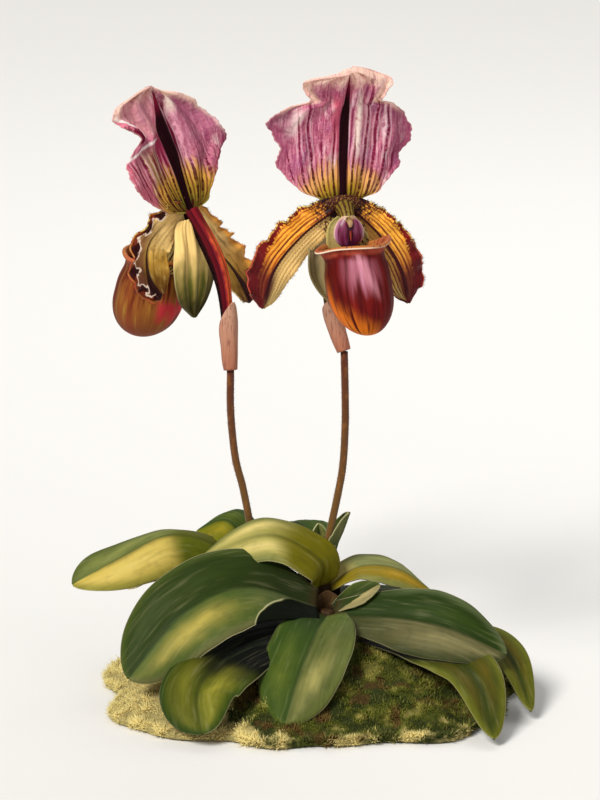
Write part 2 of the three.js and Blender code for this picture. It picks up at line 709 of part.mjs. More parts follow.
for (const [side, stalk] of Object.entries(STALKS)) {
  const scape = {
    route: curveThrough(stalk.scape),
    side: new THREE.Vector3(1, 0, 0),
    radius: () => SCAPE.radius,
    rows: SCAPE.rows,
    sides: SCAPE.sides,
  };
  const ovary = ovaryRod(stalk.ovary);
  const bract = bractBlade(stalk.ovary, stalk.bract);
  const held = wasm.Manifold.union([rodSolid(scape, GAP), rodSolid(ovary, GAP)]);
  addNode(orchid, `scape_${side}`, cut(rodSolid(scape), crownClearances), COLOURS.scape, 0.7);
  addNode(orchid, `ovary_${side}`, rodSolid(ovary).subtract(rodSolid(scape, GAP)), COLOURS.ovary, 0.6);
  addNode(orchid, `bract_${side}`, bladeSolid(bract).subtract(held), COLOURS.bract, 0.8);
  stalkClearances.push(held, bladeSolid(bract, GAP));

  // Each piece of the bloom is trimmed, in the bloom's own frame, by those already placed.
  const { bloom } = stalk;
  const group = bloomGroup(stalk);
  orchid.add(group);
  const placed = [held.transform(group.matrix.clone().invert().toArray())];
  const pieces = [
    ["column", columnSolid, COLOURS.column, 0.4],
    ["pouch", (grow) => pouchSolid(bloom.pouch, grow), COLOURS.pouch, 0.3],
    ["petal_left", (grow) => bladeSolid(petalBlade(bloom.petals[0], -1), grow), COLOURS.petal, 0.5],
    ["petal_right", (grow) => bladeSolid(petalBlade(bloom.petals[1], 1), grow), COLOURS.petal, 0.5],
    ["dorsal_sepal", (grow) => bladeSolid(dorsalBlade(bloom.dorsal), grow), COLOURS.dorsal, 0.6],
    ["synsepal", (grow) => bladeSolid(synsepalBlade(bloom.synsepal), grow), COLOURS.synsepal, 0.6],
  ];
  for (const [piece, make, colour, roughness] of pieces) {
    addNode(group, `${side}_bloom_${piece}`, cut(make(0), placed), colour, roughness);
    placed.push(make(GAP));
  }
}

const leafClearances = [...crownClearances, ...stalkClearances];
for (const leaf of LEAVES) {
  const blade = leafBlade(leaf);
  addNode(orchid, leaf.name, cut(bladeSolid(blade), leafClearances), COLOURS[leaf.colour], 0.45);
  leafClearances.push(bladeSolid(blade, GAP));
}

addNode(orchid, "moss_mound", cut(mossSolid(), leafClearances), COLOURS.moss, 0.95);

export default orchid;
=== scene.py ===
"""Dresses a slipper orchid with two blooms in a moss mound. Metres, +Z up; the right-hand bloom faces -Y.

Blades, rods and pouches are worked out in millimetres and written to their meshes in metres.
"""

from __future__ import annotations

import logging
import math
from dataclasses import dataclass
from enum import Enum
from typing import Callable, Sequence

import bpy
import numpy as np
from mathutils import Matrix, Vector


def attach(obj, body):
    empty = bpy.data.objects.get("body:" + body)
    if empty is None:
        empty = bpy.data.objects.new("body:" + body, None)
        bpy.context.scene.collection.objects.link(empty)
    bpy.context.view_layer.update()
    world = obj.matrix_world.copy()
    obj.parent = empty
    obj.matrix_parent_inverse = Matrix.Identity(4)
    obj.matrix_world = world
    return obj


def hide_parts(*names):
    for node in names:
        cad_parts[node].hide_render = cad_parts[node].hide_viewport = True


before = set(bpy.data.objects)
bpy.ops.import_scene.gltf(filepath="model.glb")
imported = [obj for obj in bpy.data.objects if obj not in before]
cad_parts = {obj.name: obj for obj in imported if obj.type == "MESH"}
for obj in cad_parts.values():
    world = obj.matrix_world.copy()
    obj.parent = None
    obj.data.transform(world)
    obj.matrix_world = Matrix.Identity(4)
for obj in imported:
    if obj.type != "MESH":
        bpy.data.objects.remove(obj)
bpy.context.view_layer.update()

LOG = logging.getLogger("orchid")
MM = 0.001
TAU = 2 * math.pi
BODY = "root"

Array = np.ndarray
Rows = Sequence[Sequence[float]]
Shape = Callable[[Array, Array], tuple[Array, Sequence[Array], Sequence[Array]]]
Colour = tuple[float, float, float, float]


# ------------------------------------------------------------------ curves


class Table:
    """A smooth line through a few (share, value) pairs."""

    def __init__(self, rows: Rows) -> None:
        """Keeps the pairs with the slope at each.

        Args:
            rows: pairs of a share and the value there.
        """
        self.x, self.y = np.array(rows, float).T
        last = len(self.x) - 1
        lower = np.maximum(np.arange(last + 1) - 1, 0)
        upper = np.minimum(np.arange(last + 1) + 1, last)
        self.slope = (self.y[upper] - self.y[lower]) / (self.x[upper] - self.x[lower])

    def __call__(self, t: Array) -> Array:
        """Values at the shares t.

        Args:
            t: shares.

        Returns:
            The values.
        """
        i = np.clip(np.searchsorted(self.x, t, side="right") - 1, 0, len(self.x) - 2)
        span = self.x[i + 1] - self.x[i]
        u = np.clip((t - self.x[i]) / span, 0, 1)
        middle = self.y[i] + (self.y[i + 1] - self.y[i]) * u * u * (3 - 2 * u)
        ends = u * (1 - u) ** 2 * self.slope[i] - u * u * (1 - u) * self.slope[i + 1]
        return middle + ends * span

    @classmethod
    def even(cls, values: Sequence[float]) -> Table:
        """A line through evenly spaced values."""
        return cls(list(zip(np.linspace(0, 1, len(values)), values)))


class Route:
    """A smooth curve through a few points, in millimetres."""

    def __init__(self, points: Rows) -> None:
        """Keeps the points with one more past each end.

        Args:
            points: two or more points.
        """
        p = np.array(points, float)
        self.points = np.vstack([2 * p[0] - p[1], p, 2 * p[-1] - p[-2]])
        self.length = float(np.linalg.norm(np.diff(self.at(np.linspace(0, 1, 100)), axis=0), axis=1).sum())

    def at(self, t: Array) -> Array:
        """Points at shares t of the way.

        Args:
            t: shares of the way along.

        Returns:
            The points, a row each, in mm.
        """
        spans = len(self.points) - 3
        place = np.clip(t, 0, 1) * spans
        i = np.minimum(place.astype(int), spans - 1)
        u = (place - i)[:, None]
        before, start, end, after = (self.points[i + k] for k in range(4))
        leave, arrive = (end - before) / 2, (after - start) / 2
        middle = start + (end - start) * u * u * (3 - 2 * u)
        return middle + u * (1 - u) ** 2 * leave - u * u * (1 - u) * arrive

    def frame(self, t: Array, side: Sequence[float], roll: Array) -> tuple[Array, Array, Array]:
        """Unit vectors ahead, across and out of the route.

        Args:
            t: shares of the way.
            side: a rough direction for across.
            roll: turn about the route, in radians.

        Returns:
            The three vectors, a row for each share.
        """
        step = 1e-4
        ahead = unit(self.at(np.minimum(t + step, 1)) - self.at(np.maximum(t - step, 0)))
        rough = np.broadcast_to(np.array(side, float), ahead.shape)
        across = unit(rough - ahead * dot(rough, ahead))
        out = np.cross(ahead, across)
        turn, lift = np.cos(roll)[:, None], np.sin(roll)[:, None]
        return ahead, across * turn + out * lift, out * turn - across * lift


def unit(v: Array) -> Array:
    """Each row at length 1."""
    return v / np.maximum(np.linalg.norm(v, axis=1, keepdims=True), 1e-12)


def dot(a: Array, b: Array) -> Array:
    """Row by row products, as a column."""
    return np.sum(a * b, axis=1, keepdims=True)


def bump_at(x: Array, middle: float, width: float) -> Array:
    """A smooth hump of height 1."""
    return np.exp(-(((x - middle) / width) ** 2))


@dataclass(frozen=True)
class Blade:
    """The middle surface of a leaf, petal or sepal.

    section takes shares t along and s across, from -1 to 1, and gives the steps across and out of the
    route and the half-width there, in mm.
    """

    route: Route
    side: Sequence[float]
    section: Callable[[Array, Array], tuple[Array, Array, Array]]
    roll: Sequence[float] = (0, 0)

    def shape(self, t: Array, s: Array) -> tuple[Array, Array, Array]:
        """Places on the surface, and the steps across and half-widths.

        Args:
            t: shares of the way along.
            s: shares across, from -1 to 1.

        Returns:
            The places, steps and half-widths, in mm.
        """
        _, across, out = self.route.frame(t, self.side, np.radians(Table.even(self.roll)(t)))
        x, z, width = self.section(t, s)
        return self.route.at(t) + across * x[:, None] + out * z[:, None], x, width


# ------------------------------------------------------------------ meshes


def read_places(mesh: bpy.types.Mesh) -> Array:
    """The vertices' places, one row each.

    Args:
        mesh: the mesh.

    Returns:
        The places in the mesh's own units.
    """
    places = np.empty(len(mesh.vertices) * 3, np.float32)
    mesh.vertices.foreach_get("co", places)
    return places.reshape(-1, 3).astype(float)


def write_places(mesh: bpy.types.Mesh, places: Array) -> None:
    """Moves the vertices to places in mm."""
    mesh.vertices.foreach_set("co", (places * MM).astype(np.float32).ravel())
    mesh.update()


def write_pattern(mesh: bpy.types.Mesh, name: str, columns: Sequence[Array]) -> None:
    """Keeps three numbers a vertex as a face-corner attribute, which a merged seam doesn't blur.

    Args:
        mesh: the mesh.
        name: the attribute's name.
        columns: its three numbers for each vertex.
    """
    corner = np.empty(len(mesh.loops), int)
    mesh.loops.foreach_get("vertex_index", corner)
    values = np.stack(columns, 1).astype(np.float32)[corner]
    mesh.attributes.new(name, "FLOAT_VECTOR", "CORNER").data.foreach_set("vector", values.ravel())


def bend_grid(name: str, columns: int, rows: int, shape: Shape, mirrored: bool = False) -> bpy.types.Object:
    """Adds a flat grid and bends it.

    Args:
        name: the piece's name.
        columns: faces across.
        rows: faces along.
        shape: takes u across, from -1 to 1, and v along, from 0 to 1, and gives the places, then the
            shares that its finish reads as "lay", and the millimetres that it reads as "span".
        mirrored: runs u the other way, so that the faces look to the other side.

    Returns:
        The piece, active and selected alone.
    """
    bpy.ops.object.select_all(action="DESELECT")
    bpy.ops.mesh.primitive_grid_add(x_subdivisions=columns, y_subdivisions=rows, size=2)
    piece = bpy.context.object
    piece.name = piece.data.name = name
    flat = read_places(piece.data)
    u = -flat[:, 0] if mirrored else flat[:, 0]
    v = (flat[:, 1] + 1) / 2
    places, lay, span = shape(u, v)
    write_pattern(piece.data, "lay", lay)
    write_pattern(piece.data, "span", span)
    write_places(piece.data, places)
    return piece


def close_seam(capped: bool = True) -> None:
    """Merges the edges of the active piece that meet, closes its ends and turns its faces outwards.

    Args:
        capped: whether to close the ends and turn the faces outwards.
    """
    bpy.ops.object.mode_set(mode="EDIT")
    bpy.ops.mesh.select_all(action="SELECT")
    bpy.ops.mesh.remove_doubles(threshold=1e-6)
    if capped:
        bpy.ops.mesh.select_all(action="DESELECT")
        bpy.ops.mesh.select_non_manifold()
        bpy.ops.mesh.edge_face_add()
        bpy.ops.mesh.select_all(action="SELECT")
        bpy.ops.mesh.normals_make_consistent(inside=False)
    bpy.ops.object.mode_set(mode="OBJECT")


def thicken(piece: bpy.types.Object, thickness: Callable[[Array], Array], columns: int) -> None:
    """Gives a bent grid its thickness, thinner at the margins, with a second finish on its back.

    Args:
        piece: the active piece.
        thickness: mm by the share across.
        columns: the grid's faces across.
    """
    across = np.linspace(-1, 1, columns + 1)
    depth = thickness(across)
    group = piece.vertex_groups.new(name="thickness")
    count = len(piece.data.vertices)
    for j, share in enumerate(depth / depth.max()):
        group.add(list(range(j, count, columns + 1)), float(share), "REPLACE")
    wall = piece.modifiers.new("wall", "SOLIDIFY")
    wall.thickness = float(depth.max()) * MM
    wall.offset = 0
    wall.vertex_group = group.name
    wall.material_offset = 1
    bpy.ops.object.modifier_apply(modifier=wall.name)
    piece.vertex_groups.clear()


def dress(piece: bpy.types.Object, finishes: Sequence[Finish], slot: str, node: str | None = None) -> None:
    """Gives a piece its finishes and its body, and hides the node that it stands for.

    Args:
        piece: the piece.
        finishes: one for each material slot.
        slot: the part's material slot; not used.
        node: the CAD node that it replaces, if any.
    """
    slots = piece.data.materials
    for number, finish in enumerate(finishes):
        if number < len(slots):
            slots[number] = finish.material()
        else:
            slots.append(finish.material())
    piece.data.shade_smooth()
    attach(piece, BODY)
    if node:
        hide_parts(node)
    piece.data.calc_loop_triangles()
    LOG.info("%s: %d triangles", piece.name, len(piece.data.loop_triangles))


def blade_piece(
    name: str,
    blade: Blade,
    grid: tuple[int, int],
    thickness: Callable[[Array], Array],
    front: int,
    place: Callable[[Array], Array] | None = None,
) -> bpy.types.Object:
    """Models a blade from a flat grid.

    Args:
        name: the piece's name.
        blade: its middle surface.
        grid: faces across and along.
        thickness: mm by the share across.
        front: 1 where the first finish looks out of the blade, -1 where it looks the other way.
        place: moves the finished places, such as into a bloom.

    Returns:
        The piece.
    """

    def shape(u: Array, v: Array) -> tuple[Array, Sequence[Array], Sequence[Array]]:
        """Bends the grid to the blade, with finer faces towards the tip.

        Args:
            u: shares across, from -1 to 1.
            v: shares along, from 0 to 1.

        Returns:
            Places, and what the finish reads as "lay" and as "span".
        """
        t = v * (1.5 - 0.5 * v)
        points, x, width = blade.shape(t, u)
        margin = (1 - np.abs(u)) * width
        return (place(points) if place else points), (u, t, margin), (x, t * blade.route.length, width)

    piece = bend_grid(name, *grid, shape, mirrored=front > 0)
    piece.data.materials.append(None)
    piece.data.materials.append(None)
    thicken(piece, thickness, grid[0])
    return piece


def rod_piece(
    name: str,
    route: Route,
    radius: Callable[[Array, Array], Array],
    grid: tuple[int, int],
    place: Callable[[Array], Array] | None = None,
) -> bpy.types.Object:
    """Models a round or ribbed rod along a route, closed at both ends.

    Args:
        name: the piece's name.
        route: the rod's middle line.
        radius: mm by the share along and the angle.
        grid: faces round and along.
        place: moves the finished places, such as into a bloom.

    Returns:
        The piece.
    """

    def shape(u: Array, v: Array) -> tuple[Array, Sequence[Array], Sequence[Array]]:
        """Bends the grid to the rod.

        Args:
            u: shares across, from -1 to 1.
            v: shares along, from 0 to 1.

        Returns:
            Places, and what the finish reads as "lay" and as "span".
        """
        angle = math.pi * u
        _, across, out = route.frame(v, (1, 0, 0), np.zeros_like(v))
        r = radius(v, angle)
        points = route.at(v) + across * (r * np.cos(angle))[:, None] + out * (r * np.sin(angle))[:, None]
        return (place(points) if place else points), (u, v, r), (r * angle, v * route.length, r)

    piece = bend_grid(name, *grid, shape)
    close_seam()
    return piece


def scatter(
    name: str,
    template: bpy.types.Object,
    roots: Array,
    heads: Array,
    sizes: Array,
    twists: Array,
    own: Array | None = None,
) -> bpy.types.Object:
    """Copies one small shape to many places, as one mesh.

    Args:
        name: the piece's name.
        template: the shape, standing on the origin along +Z, in mm; it is removed.
        roots: where each copy stands, in mm.
        heads: which way each copy points.
        sizes: width and height factors of each copy.
        twists: turn of each copy about itself, in radians.
        own: a number of each copy, for its finish; 0 when left out.

    Returns:
        The piece.
    """
    base = read_places(template.data)
    faces = [tuple(polygon.vertices) for polygon in template.data.polygons]
    bpy.data.objects.remove(template)
    up = unit(heads)
    rough = np.where(np.abs(up[:, :1]) < 0.8, np.array([[1.0, 0, 0]]), np.array([[0, 1.0, 0]]))
    side = unit(rough - up * dot(rough, up))
    other = np.cross(up, side)
    turn, lift = np.cos(twists)[:, None], np.sin(twists)[:, None]
    side, other = side * turn + other * lift, other * turn - side * lift
    wide, tall = sizes[:, 0, None, None], sizes[:, 1, None, None]
    places = (
        roots[:, None]
        + side[:, None] * base[None, :, :1] * wide
        + other[:, None] * base[None, :, 1:2] * wide
        + up[:, None] * base[None, :, 2:] * tall
    )
    count = len(base)
    mesh = bpy.data.meshes.new(name)
    every = [tuple(k * count + i for i in face) for k in range(len(roots)) for face in faces]
    mesh.from_pydata((places.reshape(-1, 3) * MM).tolist(), [], every)
    share = np.tile(base[:, 2] / base[:, 2].max(), len(roots))
    number = np.repeat(np.zeros(len(roots)) if own is None else own, count)
    write_pattern(mesh, "lay", (share, number, share))
    piece = bpy.data.objects.new(name, mesh)
    bpy.context.scene.collection.objects.link(piece)
    return piece


def spike(sides: int, radius: float, height: float) -> bpy.types.Object:
    """A thin cone that stands on the origin, in mm.

    Args:
        sides: faces round.
        radius: its foot's radius.
        height: its height.

    Returns:
        The cone.
    """
    bpy.ops.object.select_all(action="DESELECT")
    bpy.ops.mesh.primitive_cone_add(
        vertices=sides, radius1=radius, radius2=0, depth=height, location=(0, 0, height / 2)
    )
    bpy.ops.object.transform_apply(location=True)
    return bpy.context.object


# ------------------------------------------------------------------ finishes


def tone(code: int) -> Colour:
    """A colour written as 0xRRGGBB, as the shader takes it.

    Args:
        code: the colour.

    Returns:
        Linear red, green and blue, and an alpha of 1.
    """
    shares = [((code >> shift) & 255) / 255 for shift in (16, 8, 0)]
    linear = [c / 12.92 if c <= 0.04045 else ((c + 0.055) / 1.055) ** 2.4 for c in shares]
    return (*linear, 1.0)


class Signal:
    """A number in a material's node tree, which takes ordinary arithmetic."""

    def __init__(self, board: Board, socket: bpy.types.NodeSocket) -> None:
        """Keeps the socket that the number comes from."""
        self.board, self.socket = board, socket

    def __add__(self, other: Number) -> Signal:
        """The sum."""
        return self.board.math("ADD", self, other)

    def __sub__(self, other: Number) -> Signal:
        """The difference."""
        return self.board.math("SUBTRACT", self, other)

    def __mul__(self, other: Number) -> Signal:
        """The product."""
        return self.board.math("MULTIPLY", self, other)

    def __truediv__(self, other: Number) -> Signal:
        """The quotient."""
        return self.board.math("DIVIDE", self, other)

    def __rsub__(self, other: float) -> Signal:
        """A number less this one."""
        return self.board.math("SUBTRACT", other, self)

    def __abs__(self) -> Signal:
        """The size."""
        return self.board.math("ABSOLUTE", self)

    def power(self, exponent: float) -> Signal:
        """This number to a power."""
        return self.board.math("POWER", self, exponent)

    def wave(self) -> Signal:
        """Its sine."""
        return self.board.math("SINE", self)

    def top(self, other: Number) -> Signal:
        """The larger of two."""
        return self.board.math("MAXIMUM", self, other)

    def whole(self) -> Signal:
        """The nearest whole number."""
        return self.board.math("ROUND", self)

    def to_line(self) -> Signal:
        """Distance to the nearest whole number."""
        return abs(self.board.math("FRACT", self + 0.5) - 0.5)

    def near(self, middle: Number, half: Number, soft: float) -> Signal:
        """1 in a band about a middle, 0 outside it, with soft edges."""
        away = abs(self - middle) - half
        return away.step(soft, -soft)

    def step(self, none: Number, full: Number) -> Signal:
        """A smooth step from 0 at none to 1 at full."""
        return self.board.smooth(self, none, full)


Number = Signal | float
Paint = Colour | bpy.types.NodeSocket
Layer = tuple[Number, Paint]


class Board:
    """One material's node tree, with a shader that its finish fills in."""

    def __init__(self, name: str) -> None:
        """Starts the material with an empty tree, a shader and an output.

        Args:
            name: the material's name.
        """
        self.material = bpy.data.materials.new(name)
        self.material.use_nodes = True
        self.tree = self.material.node_tree
        self.tree.nodes.clear()
        self.shader = self.add("ShaderNodeBsdfPrincipled")
        self.link(self.shader.outputs[0], self.add("ShaderNodeOutputMaterial").inputs[0])

    def add(self, kind: str) -> bpy.types.Node:
        """A new node."""
        return self.tree.nodes.new(kind)

    def link(self, start: bpy.types.NodeSocket, end: bpy.types.NodeSocket) -> None:
        """Joins two sockets."""
        self.tree.links.new(start, end)

    def feed(self, socket: bpy.types.NodeSocket, value: Number | Paint) -> None:
        """Sets a socket to a number or colour, or links it.

        Args:
            socket: an input.
            value: what it takes.
        """
        if isinstance(value, Signal):
            self.link(value.socket, socket)
        elif isinstance(value, bpy.types.NodeSocket):
            self.link(value, socket)
        else:
            socket.default_value = value

    def math(self, operation: str, *values: Number) -> Signal:
        """A Math node.

        Args:
            operation: the node's operation.
            values: its inputs.

        Returns:
            Its result.
        """
        node = self.add("ShaderNodeMath")
        node.operation = operation
        for socket, value in zip(node.inputs, values):
            self.feed(socket, value)
        return Signal(self, node.outputs[0])

    def smooth(self, value: Signal, none: Number, full: Number) -> Signal:
        """A Map Range node that steps smoothly from 0 to 1.

        Args:
            value: what steps.
            none: where the step is 0.
            full: where it is 1.

        Returns:
            The step.
        """
        node = self.add("ShaderNodeMapRange")
        node.interpolation_type = "SMOOTHSTEP"
        for socket, item in zip(node.inputs, (value, none, full)):
            self.feed(socket, item)
        return Signal(self, node.outputs[0])

    def pattern(self, name: str) -> tuple[Signal, Signal, Signal]:
        """The three numbers of one of the piece's own attributes.

        Args:
            name: the attribute's name.

        Returns:
            The numbers.
        """
        node = self.add("ShaderNodeAttribute")
        node.attribute_name = name
        return self.split(node.outputs["Vector"])

    def place(self) -> tuple[Signal, Signal, Signal]:
        """Object coordinates, in millimetres."""
        x, y, z = self.split(self.add("ShaderNodeTexCoord").outputs["Object"])
        return x * (1 / MM), y * (1 / MM), z * (1 / MM)

    def split(self, vector: bpy.types.NodeSocket) -> tuple[Signal, Signal, Signal]:
        """A vector's three numbers.

        Args:
            vector: a vector output.

        Returns:
            The numbers.
        """
        node = self.add("ShaderNodeSeparateXYZ")
        self.link(vector, node.inputs[0])
        return tuple(Signal(self, socket) for socket in node.outputs)

    def noise(self, x: Number, y: Number, z: Number = 0.0, detail: float = 2.0) -> Signal:
        """Soft noise over three numbers, one lump a unit.

        Args:
            x: the first number.
            y: the second.
            z: the third.
            detail: how many finer octaves are added.

        Returns:
            Noise from 0 to 1.
        """
        join = self.add("ShaderNodeCombineXYZ")
        for socket, value in zip(join.inputs, (x, y, z)):
            self.feed(socket, value)
        node = self.add("ShaderNodeTexNoise")
        self.link(join.outputs[0], node.inputs["Vector"])
        node.inputs["Scale"].default_value = 1.0
        node.inputs["Detail"].default_value = detail
        return Signal(self, node.outputs[0])

    def mix(self, share: Number, start: Paint, end: Paint) -> bpy.types.NodeSocket:
        """A colour between two others.

        Args:
            share: 0 for start, 1 for end.
            start: one colour.
            end: the other.

        Returns:
            The colour.
        """
        node = self.add("ShaderNodeMix")
        node.data_type = "RGBA"
        self.feed(node.inputs[0], share)
        self.feed(node.inputs[6], start)
        self.feed(node.inputs[7], end)
        return node.outputs[2]

    def layers(self, base: Paint, *over: Layer) -> Paint:
        """Colours laid over a base one after another, each with its share.

        Args:
            base: the lowest colour.
            over: pairs of a share and a colour.

        Returns:
            The last mix.
        """
        for share, colour in over:
            base = self.mix(share, base, colour)
        return base

    def relief(self, height: Signal, depth: float) -> None:
        """Bump on the shader, depth in mm.

        Args:
            height: the height, from 0 to 1.
            depth: mm for a height of 1.
        """
        node = self.add("ShaderNodeBump")
        node.inputs["Strength"].default_value = 1.0
        node.inputs["Distance"].default_value = depth * MM
        self.link(height.socket, node.inputs["Height"])
        self.link(node.outputs[0], self.shader.inputs["Normal"])


@dataclass(frozen=True)
class Finish:
    """What a surface looks like. A subclass paints its colour and relief."""

    name: str
    roughness: float = 0.5
    sheen: float = 0.0
    coat: float = 0.0
    gloss: float = 0.12

    def paint(self, board: Board) -> Paint:
        """The colour, with any relief set on the way."""
        raise NotImplementedError

    def material(self) -> bpy.types.Material:
        """The material, made once.

        Returns:
            The material with this finish's name.
        """
        made = bpy.data.materials.get(self.name)
        if made:
            return made
        board = Board(self.name)
        inputs = board.shader.inputs
        inputs["Roughness"].default_value = self.roughness
        inputs["Sheen Weight"].default_value = self.sheen
        inputs["Coat Weight"].default_value = self.coat
        inputs["Specular IOR Level"].default_value = self.gloss
        inputs["Coat Roughness"].default_value = 0.25
        board.feed(inputs["Base Color"], self.paint(board))
        return board.material


class Green(Enum):
    """Colours of one half of a leaf, the two halves standing for painted light and shade: near its root, most
    often a dark painted shade; on its face; a painted highlight where light gathers; and along its hem.
    """

    DEEP = (0x232C12, 0x26340E, 0x36431A, 0x44501E)
    FRESH = (0x4E5634, 0x445422, 0xBCA850, 0x6A6840)
    LEAFY = (0x22340E, 0x2E4214, 0x586420, 0x485820)
    SOFT = (0x56642E, 0x4C5428, 0xA09858, 0x606832)
    DARK = (0x26360E, 0x20300A, 0x2E4010, 0x54603A)
    BEIGE = (0x3E4224, 0x504E2E, 0x827A52, 0x2E3618)
    CREAM = (0x66600C, 0x96904A, 0xDAC67C, 0x646A38)
    GOLD = (0x4E520C, 0x62660E, 0x968620, 0x7A7626)
    PALE = (0x545A10, 0xB8A24A, 0xD8C06A, 0x76762C)
    SLATE = (0x54580E, 0x606832, 0x868A48, 0x4A5424)
    NIGHT = (0x030503, 0x42480E, 0x706E20, 0x203810)
    DUSK = (0x030503, 0x565A14, 0x928C30, 0x2A4212)
    RUST = (0x0A0E06, 0x343C0A, 0x5A4C10, 0x62641A)
    ARCH = (0x7A6A10, 0x806E12, 0xAA841A, 0x767C46)
    STRAW = (0xA89858, 0xC4B47A, 0xD2C290, 0xB4A468)
    MIST = (0xBCAA62, 0x747846, 0x8C8C54, 0x565C32)
    BUFF = (0x7C7250, 0xA0925E, 0xB0A272, 0x7E7650)
    GREY = (0x3A4222, 0x4E5630, 0x6E7044, 0x62663C)


@dataclass(frozen=True)
class LeafFinish(Finish):
    """A strap leaf's face: two halves of different green, standing for painted light and shade, that run softly
    from root to tip.

    turn holds the shares of the length between which the root's colour, a dark painted shade on most leaves,
    gives way to the face's. line is how strongly the pale edge shows, a painted highlight along the margin. A
    painted shadow can darken one half by the root, with a pale painted edge highlight along its border.
    """

    right: Green = Green.DEEP
    left: Green = Green.DEEP
    turn: tuple[float, float] = (0.1, 0.45)
    line: float = 0.35
    root_shadow: float = 0.0
    seed: float = 0.0

    def half(self, board: Board, shade: Green, reach: Signal, glow: Signal, hem: Signal) -> Paint:
        """One half's colour: the root's, mostly a painted shade, then the face, its painted highlight and its
        hem.
        """
        root, face, light, edge = (tone(code) for code in shade.value)
        return board.layers(root, (reach, face), (glow, light), (hem, edge))

    def paint(self, board: Board) -> Paint:
        """Painted lit and shaded halves, painted highlights on them and the edge, soft streaks, midrib and root
        shadow.

        Args:
            board: the tree to paint on.

        Returns:
            The colour.
        """
        s, t, margin = board.pattern("lay")
        x, y, _ = board.pattern("span")
        wave = board.noise(x * 0.07, y * 0.045, self.seed, 2) - 0.5
        fibre = board.noise(x * 0.7, y * 0.06, self.seed + 3, 2)
        mottle = board.noise(x * 0.3, y * 0.2, self.seed + 9, 4)
        bound = t - s * 0.22 + wave * 0.08
        shadow_end = 0.122
        # Painted shadow over one half by the root, up to a wavy border.
        root_shadow_mask = s.step(-0.02, 0.12) * bound.step(shadow_end, 0.1)
        away = abs(s)
        # The root's colour, a dark painted shade on most leaves, gives way to the face's; glow is a painted
        # highlight.
        reach = (t + wave * 0.16 + away * 0.05).step(*self.turn)
        glow = (away + wave * 0.5).near(0.42, 0.16, 0.3) * (t + wave * 0.5).near(0.68, 0.16, 0.28) * reach
        hem = (margin + wave * 3).step(5.5, 0.4) * t.step(0.12, 0.4) * reach
        # The two halves' colours stand for painted light and shade.
        shades = [self.half(board, shade, reach, glow, hem * 0.8) for shade in (self.right, self.left)]
        side = (s + (board.noise(y * 0.1, self.seed) - 0.5) * 0.05).step(-0.05, 0.05)
        dark, pale = tone(0x182410), tone(0xD9D09E)
        colour = board.layers(
            board.mix(side, *shades),
            (mottle.step(0.5, 0.72) * 0.16, dark),
            (fibre.step(0.5, 0.9) * 0.1, pale),
            (fibre.step(0.5, 0.2) * 0.22, dark),
            (abs(x).step(1.7, 0.1) * t.step(0.98, 0.7) * 0.35, dark),
            # A pale line along the margin: a painted highlight on the leaf's edge, stronger on one side.
            (margin.step(0.5, 0.2) * (s.step(-0.2, 0.2) * 0.6 + 0.4) * self.line, pale),
            (t.step(0.07, 0.0) * 0.6, tone(0x3A2616)),
            # Painted shadow by the root, with a pale painted edge highlight along its border.
            (root_shadow_mask * self.root_shadow, tone(0x0A0E06)),
            (bound.near(shadow_end, 0.006, 0.008) * s.step(0.1, 0.3) * self.root_shadow * 0.6, pale),
        )
        ribs = (s * 7).to_line()
        board.relief(fibre * 0.6 + ribs.step(0.0, 0.25) * 0.25 + mottle * 0.4, 0.1)
        return colour


